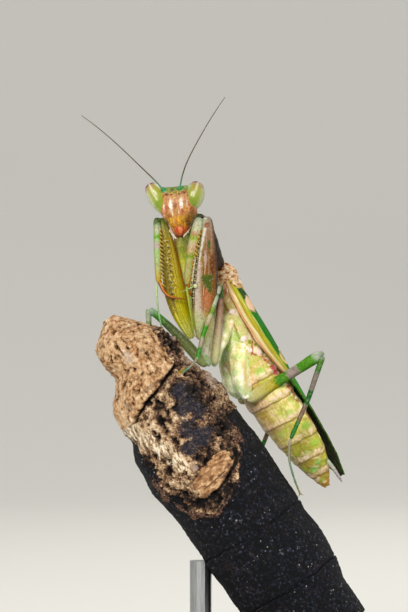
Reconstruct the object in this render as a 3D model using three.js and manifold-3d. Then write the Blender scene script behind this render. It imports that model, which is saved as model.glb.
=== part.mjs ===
// A life-size praying mantis (an adult female flower mantis) on a short length of broken branch,
// held up by a plain display stand. Millimetres, +Z up. The origin is the middle of the underside
// of the stand's base, +X points to the tail's side and -Y to the side that the mantis faces.

import * as THREE from 'three';
import { mergeVertices } from 'three/addons/utils/BufferGeometryUtils.js';
import Module from 'manifold-3d';

const wasm = await Module();
wasm.setup();

// ---- driving dimensions -------------------------------------------------------------------------

const CLEARANCE = 0.1;            // gap left where one piece is cut by its neighbour
const CLOSED_TIP = 0.04;          // half-extent that a tapering limb ends on

// The body lies head up along a slope and is rolled so that its left side and belly show.
const BODY_CENTRE = vec(1.3, 5.0, 44.7);
const BODY_SLOPE = radians(61.5);
const BODY_ROLL = radians(22);
const TAILWARD = vec(Math.cos(BODY_SLOPE), 0, -Math.sin(BODY_SLOPE));
const DORSAL = vec(Math.sin(BODY_SLOPE), 0, Math.cos(BODY_SLOPE)).applyAxisAngle(TAILWARD, -BODY_ROLL);
const LEFT = TAILWARD.clone().cross(DORSAL);

const THORAX_FRONT = -6.0;        // places along the body, measured tailward from its centre
const THORAX_REAR = 4.2;
const ABDOMEN_FRONT = 4.4;
const ABDOMEN_TIP = 21.0;
const ABDOMEN_SEGMENTS = 7;
const WING_FRONT = -3.7;
const WING_TIP = 20.8;
const WING_THICKNESS = 0.5;
const WING_GAP = 0.08;            // half the gap along the middle of the back

// The fore body stands upright and turns towards the front.
const PROTHORAX_REAR = vec(-1.3, 4.6, 50.4);
const PROTHORAX_FRONT = vec(-4.0, 0.8, 55.4);
const PROTHORAX_LEFT = vec(0.799, -0.602, 0);
const NECK_TOP = vec(-5.3, -0.9, 56.2);

const HEAD_TOP = vec(-5.76, -2.0, 59.25);
const HEAD_CHIN = vec(-5.25, -2.3, 53.85);
const HEAD_ACROSS = vec(0.996, 0, 0.094);
const FACE_FRONT = vec(0, -1, 0);

// The branch leans to the head's side. Its upper flank carries the feet.
const PERCH_FOOT = vec(9.5, 0, 9.1);
const PERCH_UP = vec(-0.56, 0, 0.83).normalize();
const PERCH_FLANK = vec(0.83, 0, 0.56).normalize();
const PERCH_LENGTH = 42.3;
const PERCH_DEPTH = 1.04;         // the branch's extent front to back over its extent across

const BASE_SIZE = { x: 42, y: 32, z: 4, corner: 5, edge: 0.6 };
const ROD_RADIUS = 1.2;
const RODS = { stand_rod_a: { x: 7, top: 8.9 }, stand_rod_b: { x: -3, top: 18.2 } };

const ANTENNA_RADIUS = 0.26;
const PALP_RADIUS = 0.25;
const TIBIAL_SPINES = 11;
const FEMORAL_SPINES = 4;

// ---- small helpers ------------------------------------------------------------------------------

function vec(x, y, z) {
  return new THREE.Vector3(x, y, z);
}

function radians(degrees) {
  return degrees * Math.PI / 180;
}

function onBody(tailward, dorsal, left) {
  return BODY_CENTRE.clone()
    .addScaledVector(TAILWARD, tailward)
    .addScaledVector(DORSAL, dorsal)
    .addScaledVector(LEFT, left);
}

function between(from, to, share) {
  return from.clone().lerp(to, share);
}

// Straight-line interpolation in a list of stations, each [place, value, value, ...].
function atStation(stations, place) {
  const last = stations[stations.length - 1];
  if (place <= stations[0][0]) return stations[0].slice(1);
  for (let i = 1; i < stations.length; i += 1) {
    const [before, after] = [stations[i - 1], stations[i]];
    if (place <= after[0]) {
      const share = (place - before[0]) / (after[0] - before[0]);
      return before.slice(1).map((value, k) => value + share * (after[k + 1] - value));
    }
  }
  return last.slice(1);
}

// Turns a closed three.js geometry into a solid, after moving each vertex with place(vertex).
function solidFrom(geometry, place) {
  const position = geometry.getAttribute('position');
  const vertex = new THREE.Vector3();
  for (let i = 0; place && i < position.count; i += 1) {
    vertex.fromBufferAttribute(position, i);
    const moved = place(vertex);
    position.setXYZ(i, moved.x, moved.y, moved.z);
  }
  geometry.deleteAttribute('normal');
  geometry.deleteAttribute('uv');
  const merged = mergeVertices(geometry, 1e-5);
  return new wasm.Manifold(new wasm.Mesh({
    numProp: 3,
    vertProperties: new Float32Array(merged.getAttribute('position').array),
    triVerts: new Uint32Array(merged.index.array),
  }));
}

function joined(...shapes) {
  return (grow) => shapes.map((shape) => shape(grow)).reduce((all, one) => all.add(one));
}

// A limb follows a smooth line through its points. section(share) gives its half-extents
// [broad, thin] at a share of the length, and how far its broad edges are raised. broadWay says
// which way broad points.
function loft(points, broadWay, section, { sides = 10, rings = 8, evenRings = false } = {}) {
  const line = new THREE.CatmullRomCurve3(points);
  return (grow) => solidFrom(new THREE.CylinderGeometry(1, 1, 1, sides, rings), ({ x, y, z }) => {
    const step = y + 0.5;
    const share = evenRings ? step : (1 - Math.cos(Math.PI * step)) / 2;
    const along = line.getTangentAt(share);
    const broad = broadWay.clone().addScaledVector(along, -broadWay.dot(along)).normalize();
    const thin = broad.clone().cross(along);
    const [broadHalf, thinHalf, raised = 0] = section(share);
    return line.getPointAt(share)
      .addScaledVector(along, (2 * share - 1) * grow)
      .addScaledVector(broad, x * (broadHalf + grow))
      .addScaledVector(thin, z * (thinHalf + grow) + raised * x * x);
  });
}

function limb(points, broadWay, stations, options) {
  return loft(points, broadWay, (share) => atStation(stations, share), options);
}

function spike(base, tip, radius) {
  const anyWay = Math.abs(tip.y - base.y) > Math.abs(tip.z - base.z) ? vec(0, 0, 1) : vec(0, 1, 0);
  return limb([base, tip], anyWay, [[0, radius, radius], [1, CLOSED_TIP, CLOSED_TIP]],
    { sides: 3, rings: 1 });
}

// ---- head ---------------------------------------------------------------------------------------

const headShape = joined(
  limb([HEAD_TOP, HEAD_CHIN], HEAD_ACROSS,
    [[0, 1.5, 0.6], [0.06, 1.9, 1.0], [0.2, 2.1, 1.3], [0.5, 1.92, 1.35], [0.6, 1.6, 1.25],
      [0.8, 1.05, 0.95], [0.93, 0.68, 0.7], [1, 0.4, 0.45]],
    { sides: 12, rings: 8 }),
  limb([between(HEAD_TOP, HEAD_CHIN, 0.1).addScaledVector(FACE_FRONT, 0.55),
    between(HEAD_TOP, HEAD_CHIN, 0.42).addScaledVector(FACE_FRONT, 0.75)], HEAD_ACROSS,
  [[0, 0.9, 0.25], [0.5, 1.1, 0.6], [1, 0.8, 0.3]], { sides: 8, rings: 3 }),
);

// The right eye is turned a little away, so its broad side is the narrower of the two.
const EYES = {
  eye_right: {
    broad: 0.8,
    points: [vec(-7.2, -2.15, 56.4), vec(-7.93, -2.2, 58.1), vec(-8.66, -2.15, 59.8)],
  },
  eye_left: {
    broad: 0.94,
    points: [vec(-3.9, -2.15, 56.55), vec(-3.6, -2.2, 58.3), vec(-3.3, -2.15, 60.05)],
  },
};
const eyeOutline = [[0, 0.2], [0.06, 0.5], [0.2, 0.82], [0.38, 0.98], [0.55, 1], [0.75, 0.86],
  [0.9, 0.58], [0.97, 0.33], [1, 0.1]];
const EYE_DEPTH = 1.22;           // half-extent front to back at the middle of an eye

function eyeShape({ broad, points }) {
  const stations = eyeOutline.map(([place, size]) => [place, size * broad, size * EYE_DEPTH]);
  return limb(points, vec(1, 0, 0.2), stations, { sides: 12, rings: 9 });
}

const mouthShape = limb(
  [between(HEAD_TOP, HEAD_CHIN, 0.86).addScaledVector(FACE_FRONT, 0.35),
    HEAD_CHIN.clone().addScaledVector(vec(0.07, 0, -1), 0.35).addScaledVector(FACE_FRONT, 0.1)],
  HEAD_ACROSS, [[0, 0.5, 0.3], [0.4, 0.62, 0.55], [0.8, 0.4, 0.42], [1, 0.16, 0.2]],
  { sides: 9, rings: 4 },
);

const PALPS = {
  palp_right: [vec(-6.45, -2.5, 54.6), vec(-6.1, -2.8, 53.95), vec(-5.55, -2.95, 53.45)],
  palp_left: [vec(-3.95, -2.45, 55.1), vec(-4.4, -2.8, 54.3), vec(-5.0, -2.95, 53.65)],
};

const ANTENNAE = {
  antenna_right: [vec(-6.7, -3.0, 58.35), vec(-7.75, -3.3, 59.6), vec(-9.7, -3.6, 61.5),
    vec(-12.1, -3.8, 63.8), vec(-14.6, -3.9, 65.9), vec(-16.3, -4.0, 67.1)],
  antenna_left: [vec(-5.4, -3.0, 58.5), vec(-5.15, -3.3, 60.0), vec(-4.6, -3.6, 61.7),
    vec(-3.35, -3.8, 64.1), vec(-1.8, -3.9, 66.8), vec(-0.2, -4.0, 69.2)],
};

function feelerShape(points, radius, steps) {
  return limb(points, vec(0, 1, 0), [[0, radius, radius], [1, radius, radius]],
    { sides: 5, rings: steps, evenRings: true });
}

const neckShape = limb([NECK_TOP, PROTHORAX_FRONT], PROTHORAX_LEFT,
  [[0, 0.75, 0.7], [1, 0.95, 0.85]], { sides: 9, rings: 3 });

// ---- trunk --------------------------------------------------------------------------------------

const prothoraxShape = limb([PROTHORAX_REAR, PROTHORAX_FRONT], PROTHORAX_LEFT,
  [[0, 1.1, 0.8], [0.12, 1.3, 1.1], [0.35, 1.4, 1.2], [0.58, 1.65, 1.2], [0.75, 1.6, 1.15],
    [0.92, 1.35, 1.0], [1, 1.0, 0.7]],
  { sides: 10, rings: 8 });

const thoraxShape = limb(
  [onBody(THORAX_FRONT, 0.75, 0), onBody(-2.4, -0.1, 0), onBody(THORAX_REAR, -1.4, 0)], LEFT,
  [[0, 1.3, 1.1], [0.06, 1.8, 1.5], [0.25, 2.3, 1.85], [0.6, 2.75, 2.2], [1, 2.85, 2.4]],
  { sides: 10, rings: 6 });

const SEGMENT_NARROW = 0.96;      // a segment's size at its front, as a share of the abdomen's outline
const SEGMENT_SWELL = 0.07;       // what it gains by its hind margin

function segmentSwell(share) {
  return SEGMENT_NARROW + SEGMENT_SWELL * ((share * ABDOMEN_SEGMENTS) % 1);
}

// The belly is round and the back is flat, so that the broad edges lie close under the wings.
const abdomenStations = [[0, 2.8, 2.3, 0], [0.12, 3.5, 2.6, 0], [0.3, 3.9, 2.6, 0.25],
  [0.5, 3.85, 2.3, 0.75], [0.7, 3.35, 1.8, 0.9], [0.82, 2.65, 1.4, 0.8], [0.93, 1.4, 0.85, 0.4],
  [1, 0.3, 0.3, 0]];

const abdomenShape = loft(
  [onBody(ABDOMEN_FRONT, -1.6, 0), onBody(12.5, -1.15, 0), onBody(ABDOMEN_TIP, -0.3, 0)], LEFT,
  (share) => atStation(abdomenStations, share).map((extent) => extent * segmentSwell(share)),
  { sides: 11, rings: 14, evenRings: true },
);

function cercusShape(side) {
  return limb([onBody(17.8, 0.3, 1.9 * side), onBody(19.8, 0.5, 2.3 * side),
    onBody(21.4, 0.5, 2.5 * side)], DORSAL,
  [[0, 0.26, 0.3], [0.5, 0.27, 0.34], [1, 0.12, 0.14]], { sides: 6, rings: 4 });
}

// ---- wings --------------------------------------------------------------------------------------

// [share of the length, half-width, height of the ridge over the body's centre line, fall from
// the ridge to the outer edge]
const wingStations = [[0, 2.2, 1.75, 1.9], [0.06, 3.0, 1.9, 2.7], [0.17, 3.7, 2.0, 3.2],
  [0.3, 4.0, 2.1, 3.2], [0.43, 4.2, 2.1, 2.5], [0.55, 4.2, 2.0, 1.6], [0.68, 3.95, 1.95, 1.0],
  [0.8, 3.4, 2.0, 0.7], [0.9, 2.5, 2.1, 0.5], [0.97, 1.3, 2.15, 0.3], [1, 0.6, 2.15, 0.12]];

// A leathery forewing, folded over the back. Across, it follows an arc from the middle of the back
// down the body's side. side is 1 for the left and -1 for the right.
function forewingShape(side) {
  return (grow) => solidFrom(new THREE.BoxGeometry(1, 1, 1, 15, 1, 5), ({ x, y, z }) => {
    const share = x + 0.5;
    const [width, ridge, fall] = atStation(wingStations, share);
    const wrap = 2 * Math.atan(fall / width);
    const radius = width / Math.sin(wrap);
    const inner = (WING_GAP - grow) / radius;
    const across = side > 0 ? z + 0.5 : 0.5 - z;
    const angle = inner + across * (wrap + grow / radius - inner);
    const reach = radius - WING_THICKNESS / 2 + y * (WING_THICKNESS + 2 * grow);
    const tailward = WING_FRONT - grow + share * (WING_TIP - WING_FRONT + 2 * grow);
    const height = ridge - radius + reach * Math.cos(angle);
    return onBody(tailward, height, side * reach * Math.sin(angle));
  });
}

// ---- forelegs -----------------------------------------------------------------------------------

const FLEXOR_WAY = vec(-0.93, -0.37, 0);

const FORELEGS = {
  right: {
    coxa: [vec(-4.95, 2.2, 54.3), vec(-4.85, 1.9, 49.6), vec(-4.0, 1.6, 43.6)],
    femur: [vec(-4.0, 0.8, 42.6), vec(-5.1, 0.75, 45.3), vec(-5.95, 0.6, 48.5),
      vec(-6.6, 0.4, 52.5), vec(-7.35, 0.15, 55.9)],
    tibia: [vec(-7.75, -0.1, 55.9), vec(-7.75, -0.35, 52.3), vec(-7.6, -0.5, 48.7)],
    claw: [vec(-7.55, -0.5, 48.9), vec(-6.7, -0.75, 47.4), vec(-4.6, -0.7, 46.9)],
    tarsus: [vec(-7.85, -0.6, 48.6), vec(-7.75, -0.2, 46.3), vec(-7.3, 0.3, 43.7)],
    spineReach: vec(0.75, -0.32, -0.6),
  },
  left: {
    coxa: [vec(-2.7, 0.3, 53.4), vec(-2.4, 0.6, 49.0), vec(-2.8, 0.8, 43.6)],
    femur: [vec(-3.1, -0.2, 42.5), vec(-2.8, -0.9, 45.4), vec(-2.48, -1.9, 49.0),
      vec(-2.35, -2.9, 52.5), vec(-2.3, -3.8, 55.9)],
    tibia: [vec(-3.1, -4.1, 55.8), vec(-4.05, -3.45, 52.0), vec(-4.5, -2.6, 48.6)],
    claw: [vec(-4.45, -2.5, 48.8), vec(-4.2, -1.9, 47.6), vec(-3.5, -0.85, 47.0)],
    tarsus: [vec(-4.55, -2.75, 48.3), vec(-4.2, -2.3, 46.0), vec(-3.7, -1.7, 42.9)],
    spineReach: vec(0.62, 0.2, -0.7),
  },
};

const coxaStations = [[0, 0.75, 0.65], [0.15, 1.02, 0.8], [0.7, 0.76, 0.66], [0.95, 0.55, 0.5],
  [1, 0.3, 0.3]];
const foreFemurStations = [[0, 0.25, 0.25], [0.02, 0.46, 0.42], [0.08, 0.68, 0.55], [0.22, 1.1, 0.72],
  [0.38, 1.32, 0.78], [0.55, 1.1, 0.72], [0.75, 0.85, 0.62], [0.95, 0.66, 0.55], [1, 0.3, 0.28]];
const foreTibiaStations = [[0, 0.24, 0.24], [0.06, 0.46, 0.42], [0.9, 0.38, 0.35], [1, 0.28, 0.28]];

// The femur carries a short row of spines beside the groove that takes the tibia's claw.
function foreFemurShape({ femur }) {
  const line = new THREE.CatmullRomCurve3(femur);
  const spines = [];
  for (let i = 0; i < FEMORAL_SPINES; i += 1) {
    const share = 0.42 + 0.11 * i;      // shares of the femur's length, from its base
    const edge = atStation(foreFemurStations, share)[0];
    const root = line.getPointAt(share).addScaledVector(FLEXOR_WAY, edge - 0.15);
    spines.push(spike(root, root.clone().addScaledVector(FLEXOR_WAY, 0.55), 0.18));
  }
  return joined(limb(femur, FLEXOR_WAY, foreFemurStations, { sides: 9, rings: 8 }), ...spines);
}

// The tibia ends in a hooked claw, and its close-set spines lean over the femur's face.
function foreTibiaShape({ tibia, claw, spineReach }) {
  const line = new THREE.CatmullRomCurve3(tibia);
  const spines = [];
  for (let i = 0; i < TIBIAL_SPINES; i += 1) {
    const share = 0.2 + 0.74 * i / (TIBIAL_SPINES - 1);      // from just below the knee
    const root = line.getPointAt(share).addScaledVector(spineReach, 0.2);
    spines.push(spike(root, root.clone().addScaledVector(spineReach, 0.85), 0.2));
  }
  const hook = limb(claw, vec(0, 1, 0), [[0, 0.3, 0.3], [0.6, 0.22, 0.22], [1, 0.07, 0.07]],
    { sides: 6, rings: 5 });
  return joined(limb(tibia, FLEXOR_WAY, foreTibiaStations, { sides: 7, rings: 6 }), hook, ...spines);
}

// ---- walking legs -------------------------------------------------------------------------------

const WALKING_LEGS = {
  mid_left: {
    coxa: [onBody(-0.9, -1.6, 1.7), vec(-0.9, 2.2, 42.3), vec(-1.5, 1.3, 39.9)],
    femur: [vec(-1.54, 1.2, 39.6), vec(-1.0, 0.4, 44.4), vec(-0.88, -0.8, 49.2)],
    tibia: [vec(-0.95, -0.95, 49.3), vec(-2.3, -1.2, 44.7), vec(-3.4, -1.8, 40.3)],
    tarsus: [vec(-3.45, -1.9, 40.2), vec(-4.6, -3.5, 39.2), vec(-6.2, -4.6, 37.9)],
  },
  mid_right: {
    coxa: [onBody(-0.9, -1.6, -1.7), vec(-1.9, 5.3, 41.8), vec(-2.3, 4.6, 39.7)],
    femur: [vec(-2.35, 4.6, 39.5), vec(-5.6, 5.7, 43.0), vec(-8.8, 6.4, 46.0)],
    tibia: [vec(-8.95, 6.4, 46.0), vec(-8.9, 6.1, 41.8), vec(-8.5, 5.6, 37.6)],
    tarsus: [vec(-8.45, 5.6, 37.5), vec(-7.5, 5.6, 35.6), vec(-6.0, 5.4, 33.5)],
  },
  hind_left: {
    coxa: [onBody(2.6, -1.9, 1.8), vec(1.5, 2.3, 38.8), vec(1.75, 2.0, 36.0)],
    femur: [vec(2.0, 1.95, 35.6), vec(6.4, 0.5, 38.4), vec(10.6, -0.65, 41.1)],
    tibia: [vec(10.3, -0.7, 40.9), vec(9.9, -0.8, 38.7), vec(8.6, -0.95, 35.6), vec(6.9, -1.0, 31.7)],
    tarsus: [vec(6.8, -1.0, 31.5), vec(6.7, -1.0, 28.9), vec(7.3, -0.8, 27.1), vec(8.1, -0.5, 25.1)],
  },
  hind_right: {
    coxa: [onBody(2.6, -1.9, -1.8), vec(0.4, 5.5, 38.4), vec(1.2, 5.1, 36.0)],
    femur: [vec(1.3, 5.2, 35.7), vec(3.7, 9.5, 36.6), vec(6.1, 13.3, 36.5)],
    tibia: [vec(6.1, 13.4, 36.4), vec(5.0, 10.8, 33.0), vec(3.6, 7.6, 29.6)],
    tarsus: [vec(3.6, 7.5, 29.5), vec(2.9, 6.4, 27.6), vec(1.9, 5.9, 25.5)],
  },
};

const walkingStations = {
  mid_coxa: [[0, 0.8, 0.8], [0.2, 1.1, 1.0], [0.75, 0.85, 0.75], [0.94, 0.6, 0.55], [1, 0.3, 0.3]],
  hind_coxa: [[0, 1.0, 0.9], [0.25, 1.35, 1.25], [0.6, 1.3, 1.2], [0.85, 1.0, 0.9],
    [0.97, 0.6, 0.5], [1, 0.3, 0.3]],
  mid: [[0, 0.25, 0.25], [0.04, 0.5, 0.42], [0.15, 0.75, 0.55], [0.6, 0.55, 0.45],
    [0.95, 0.46, 0.38], [1, 0.25, 0.24]],
  hind: [[0, 0.25, 0.25], [0.04, 0.5, 0.42], [0.15, 0.66, 0.5], [0.55, 0.5, 0.42],
    [0.8, 0.66, 0.48], [0.95, 0.66, 0.48], [1, 0.3, 0.28]],
  tibia: [[0, 0.3, 0.3], [0.15, 0.33, 0.32], [0.85, 0.28, 0.28], [1, 0.27, 0.27]],
  tarsus: [[0, 0.26, 0.26], [0.9, 0.26, 0.26], [1, 0.2, 0.2]],
};

function walkingLegShapes(pair, { coxa, femur, tibia, tarsus }) {
  const femurWay = femur[2].clone().sub(femur[0]).cross(vec(0, 1, 0));
  return {
    coxa: limb(coxa, LEFT, walkingStations[`${pair}_coxa`], { sides: 8, rings: 5 }),
    femur: limb(femur, femurWay, walkingStations[pair], { sides: 7, rings: 6 }),
    tibia: limb(tibia, vec(0.1, 1, 0), walkingStations.tibia, { sides: 6, rings: 5 }),
    tarsus: limb(tarsus, vec(0.1, 1, 0), walkingStations.tarsus, { sides: 6, rings: 5 }),
  };
}

// ---- branch and stand ---------------------------------------------------------------------------

// [height along the branch, shift towards its upper flank, half-width]
const perchProfile = [[0, 0.9, 5.7], [5, 1.0, 5.75], [7, 1.3, 6.2], [19, 1.3, 6.2],
  [21.5, 1.1, 6.4], [23.5, 0.95, 6.55], [26, 1.05, 6.25], [28.6, 1.15, 6.05], [30.5, 1.45, 5.6],
  [32, 1.3, 5.3], [33.2, 0.9, 4.9], [34.6, 1.35, 4.6],
  [36, 2.0, 3.9], [37.7, 1.8, 3.9], [38.7, 1.4, 3.6], [39.9, 0.8, 3.0], [41.5, 1.3, 1.7],
  [PERCH_LENGTH, 1.3, 0.6]];
const PERCH_SIDES = 16;
const PERCH_RINGS = 20;
const SMOOTH_BARK_END = 20;       // below this height the charred bark is smooth

function perchRoughness(height, angle) {
  const waves = Math.sin(3 * angle + 0.9 * height) + Math.sin(5 * angle - 1.7 * height + 1)
    + 0.6 * Math.sin(9 * angle + 2.3 * height + 2);
  const strength = height < SMOOTH_BARK_END ? 0.06 : 0.14;
  return strength * waves;
}

function perchShape(grow) {
  const geometry = new THREE.CylinderGeometry(1, 1, 1, PERCH_SIDES, PERCH_RINGS);
  return solidFrom(geometry, ({ x, y, z }) => {
    const share = y + 0.5;
    const height = share * PERCH_LENGTH;
    const [shift, half] = atStation(perchProfile, height);
    const rough = perchRoughness(height, Math.atan2(z, x)) * Math.min(1, half / 3);
    const across = half + rough + grow;
    return PERCH_FOOT.clone()
      .addScaledVector(PERCH_UP, height + (2 * share - 1) * grow)
      .addScaledVector(PERCH_FLANK, shift + x * across)
      .addScaledVector(FACE_FRONT, z * across * PERCH_DEPTH);
  });
}

function baseShape(grow) {
  const { x, y, z, corner, edge } = BASE_SIZE;
  const half = { x: x / 2 - edge + grow, y: y / 2 - edge + grow };
  const cut = corner - edge;
  const outline = new THREE.Shape();
  outline.moveTo(-half.x + cut, -half.y);
  outline.lineTo(half.x - cut, -half.y);
  outline.lineTo(half.x, -half.y + cut);
  outline.lineTo(half.x, half.y - cut);
  outline.lineTo(half.x - cut, half.y);
  outline.lineTo(-half.x + cut, half.y);
  outline.lineTo(-half.x, half.y - cut);
  outline.lineTo(-half.x, -half.y + cut);
  outline.closePath();
  const geometry = new THREE.ExtrudeGeometry(outline, {
    depth: z - 2 * edge + 2 * grow, bevelThickness: edge, bevelSize: edge, bevelSegments: 1,
  });
  geometry.translate(0, 0, edge - grow);
  return solidFrom(geometry);
}

function rodShape(x, top) {
  return (grow) => {
    const length = top - BASE_SIZE.z;
    const geometry = new THREE.CylinderGeometry(ROD_RADIUS + grow, ROD_RADIUS + grow, length, 16);
    geometry.rotateX(Math.PI / 2);
    geometry.translate(x, 0, BASE_SIZE.z + length / 2);
    return solidFrom(geometry);
  };
}

// ---- the list of pieces -------------------------------------------------------------------------

// A piece earlier in the list keeps its shape, and a later one is cut to clear it.
const pieces = [];

function addPiece(name, colour, roughness, shape, metalness = 0) {
  pieces.push({ name, colour, roughness, shape, metalness });
}

function addHead() {
  for (const [name, eye] of Object.entries(EYES)) addPiece(name, 0xb6c26a, 0.25, eyeShape(eye));
  for (const [name, points] of Object.entries(ANTENNAE)) {
    addPiece(name, 0x4a5a44, 0.5, feelerShape(points, ANTENNA_RADIUS, 9));
  }
  for (const [name, points] of Object.entries(PALPS)) {
    addPiece(name, 0xe3b9a4, 0.5, feelerShape(points, PALP_RADIUS, 4));
  }
  addPiece('mouth', 0xd0693f, 0.45, mouthShape);
  addPiece('head', 0xdfc39a, 0.5, headShape);
  addPiece('neck', 0x9aa06a, 0.6, neckShape);
}

function addForeleg(side) {
  const leg = FORELEGS[side];
  addPiece(`fore_tibia_${side}`, 0xb9cf92, 0.45, foreTibiaShape(leg));
  addPiece(`fore_femur_${side}`, 0xb8b552, 0.45, foreFemurShape(leg));
  addPiece(`fore_tarsus_${side}`, 0x7faf97, 0.45,
    limb(leg.tarsus, vec(0, 1, 0), walkingStations.tarsus, { sides: 6, rings: 5 }));
  addPiece(`fore_coxa_${side}`, 0xb3c07a, 0.45,
    limb(leg.coxa, FLEXOR_WAY, coxaStations, { sides: 9, rings: 6 }));
}

function addWalkingLeg(name) {
  const [pair, side] = name.split('_');
  const shapes = walkingLegShapes(pair, WALKING_LEGS[name]);
  for (const part of ['femur', 'tibia', 'tarsus', 'coxa']) {
    addPiece(`${pair}_${part}_${side}`, part === 'coxa' ? 0xc9cf9c : 0x8fbf6e, 0.45, shapes[part]);
  }
}

function addTrunk() {
  addPiece('forewing_left', 0x3f6b2c, 0.4, forewingShape(1));
  addPiece('forewing_right', 0x3f6b2c, 0.4, forewingShape(-1));
  addPiece('prothorax', 0x9a7748, 0.5, prothoraxShape);
  addPiece('thorax', 0xd9cfa4, 0.5, thoraxShape);
  addPiece('cercus_left', 0xa9a09a, 0.5, cercusShape(1));
  addPiece('cercus_right', 0xa9a09a, 0.5, cercusShape(-1));
  addPiece('abdomen', 0xc3c070, 0.5, abdomenShape);
}

function addStand() {
  addPiece('perch', 0x4a4038, 0.9, perchShape);
  addPiece('stand_base', 0x2b241f, 0.45, baseShape);
  for (const [name, { x, top }] of Object.entries(RODS)) {
    addPiece(name, 0x9a9da0, 0.3, rodShape(x, top), 1);
  }
}

addHead();
addForeleg('right');
addForeleg('left');
addWalkingLeg('mid_left');
addWalkingLeg('hind_left');
addWalkingLeg('mid_right');
addWalkingLeg('hind_right');
addTrunk();
addStand();

// ---- cutting and assembly -----------------------------------------------------------------------

function boxesMeet(a, b) {
  return [0, 1, 2].every((axis) => a.min[axis] < b.max[axis] && b.min[axis] < a.max[axis]);
}

function largestBody(solid) {
  return solid.decompose().reduce((best, body) => (body.volume() > best.volume() ? body : best));
}

function meshFrom({ name, colour, roughness, metalness }, solid) {
  const { vertProperties, triVerts } = solid.getMesh();
  const geometry = new THREE.BufferGeometry();
  geometry.setAttribute('position', new THREE.BufferAttribute(new Float32Array(vertProperties), 3));
  geometry.setIndex(new THREE.BufferAttribute(new Uint32Array(triVerts), 1));
  geometry.computeVertexNormals();
  const mesh = new THREE.Mesh(geometry,
    new THREE.MeshStandardMaterial({ color: colour, roughness, metalness }));
  mesh.name = name;
  return mesh;
}

const group = new THREE.Group();
const grown = [];

for (const piece of pieces) {
  let solid = piece.shape(0);
  for (const earlier of grown) {
    if (boxesMeet(solid.boundingBox(), earlier.boundingBox())) solid = solid.subtract(earlier);
  }
  group.add(meshFrom(piece, largestBody(solid)));
  grown.push(piece.shape(CLEARANCE));
}

export default group;
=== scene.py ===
"""A life-size praying mantis, an adult female flower mantis, on a short length of broken branch
that a plain display stand holds up. Shapes are modelled in millimetres and then brought to metres.
"""

import math
from contextlib import contextmanager
from functools import reduce

import bpy
import numpy as np
from mathutils import Matrix, Vector, noise


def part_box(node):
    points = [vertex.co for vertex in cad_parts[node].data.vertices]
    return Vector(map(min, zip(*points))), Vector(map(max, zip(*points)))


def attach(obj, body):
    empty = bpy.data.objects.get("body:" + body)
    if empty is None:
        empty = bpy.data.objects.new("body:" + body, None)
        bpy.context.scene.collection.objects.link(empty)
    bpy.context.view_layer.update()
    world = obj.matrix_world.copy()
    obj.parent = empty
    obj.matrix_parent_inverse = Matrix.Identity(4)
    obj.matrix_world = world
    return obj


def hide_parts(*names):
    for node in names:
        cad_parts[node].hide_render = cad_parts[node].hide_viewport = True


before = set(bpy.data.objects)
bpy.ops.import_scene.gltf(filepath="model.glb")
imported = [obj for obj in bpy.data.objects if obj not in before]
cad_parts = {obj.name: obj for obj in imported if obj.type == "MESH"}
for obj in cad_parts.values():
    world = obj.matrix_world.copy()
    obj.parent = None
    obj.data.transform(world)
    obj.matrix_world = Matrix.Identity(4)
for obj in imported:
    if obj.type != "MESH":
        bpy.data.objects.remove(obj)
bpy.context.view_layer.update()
MM = 0.001
SIDES = ("left", "right")

# ---- the body's lie -----------------------------------------------------------------------------

# The body lies head up along a slope and is rolled so that its left side and belly show.
BODY_SLOPE = math.radians(61.5)
BODY_ROLL = math.radians(22)
TAILWARD = Vector((math.cos(BODY_SLOPE), 0, -math.sin(BODY_SLOPE)))
DORSAL = Matrix.Rotation(-BODY_ROLL, 3, TAILWARD) @ Vector((math.sin(BODY_SLOPE), 0, math.cos(BODY_SLOPE)))
LEFT = TAILWARD.cross(DORSAL)
FRONT = Vector((0, -1, 0))
UP = Vector((0, 0, 1))

# The branch leans to the head's side. Its flank is the side that the feet stand on.
PERCH_LEAN = math.radians(34)
PERCH_UP = Vector((-math.sin(PERCH_LEAN), 0, math.cos(PERCH_LEAN)))
PERCH_FLANK = Vector((math.cos(PERCH_LEAN), 0, math.sin(PERCH_LEAN)))

WING_FRONT = -3.7                 # places along the body, measured tailward from its centre
WING_TIP = 20.8
WING_RIDGE = 2.15                 # the forewings' highest line over the body's centre line

# ---- measuring the CAD nodes --------------------------------------------------------------------


def corners(*nodes):
    """The corners of some CAD nodes, in millimetres."""
    return np.array([vertex.co[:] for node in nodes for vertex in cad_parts[node].data.vertices]) / MM


def middle(node):
    low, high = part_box(node)
    return (low + high) / (2 * MM)


def section(node, way, level):
    """Where a plane across way cuts a CAD node's edges."""
    points = corners(node)
    edges = np.array([edge.vertices[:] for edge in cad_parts[node].data.edges])
    reach = points @ np.array(way)
    first, last = reach[edges[:, 0]], reach[edges[:, 1]]
    cut = (first < level) != (last < level)
    share = ((level - first[cut]) / (last[cut] - first[cut]))[:, None]
    return points[edges[cut, 0]] * (1 - share) + points[edges[cut, 1]] * share


def centre_line(node, start, cuts=5, trim=0.07):
    """Points along the middle of a long CAD node, from the end that is nearest to start."""
    points = corners(node)
    way = np.linalg.svd(points - points.mean(0), full_matrices=False)[2][0]
    reach = points @ way
    levels = reach.min() + np.linspace(trim, 1 - trim, cuts) * np.ptp(reach)
    line = [Vector(np.median(section(node, way, level), axis=0)) for level in levels]
    if (line[-1] - start).length < (line[0] - start).length:
        line.reverse()
    return line


def body_centre():
    """The point that places along, above and beside the body are measured from."""
    wings = corners("forewing_left", "forewing_right")
    along, above, beside = (wings @ np.array(way) for way in (TAILWARD, DORSAL, LEFT))
    return (TAILWARD * (along.min() - WING_FRONT) + DORSAL * (above.max() - WING_RIDGE)
            + LEFT * (beside.min() + beside.max()) / 2)


BODY_CENTRE = body_centre()


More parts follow.
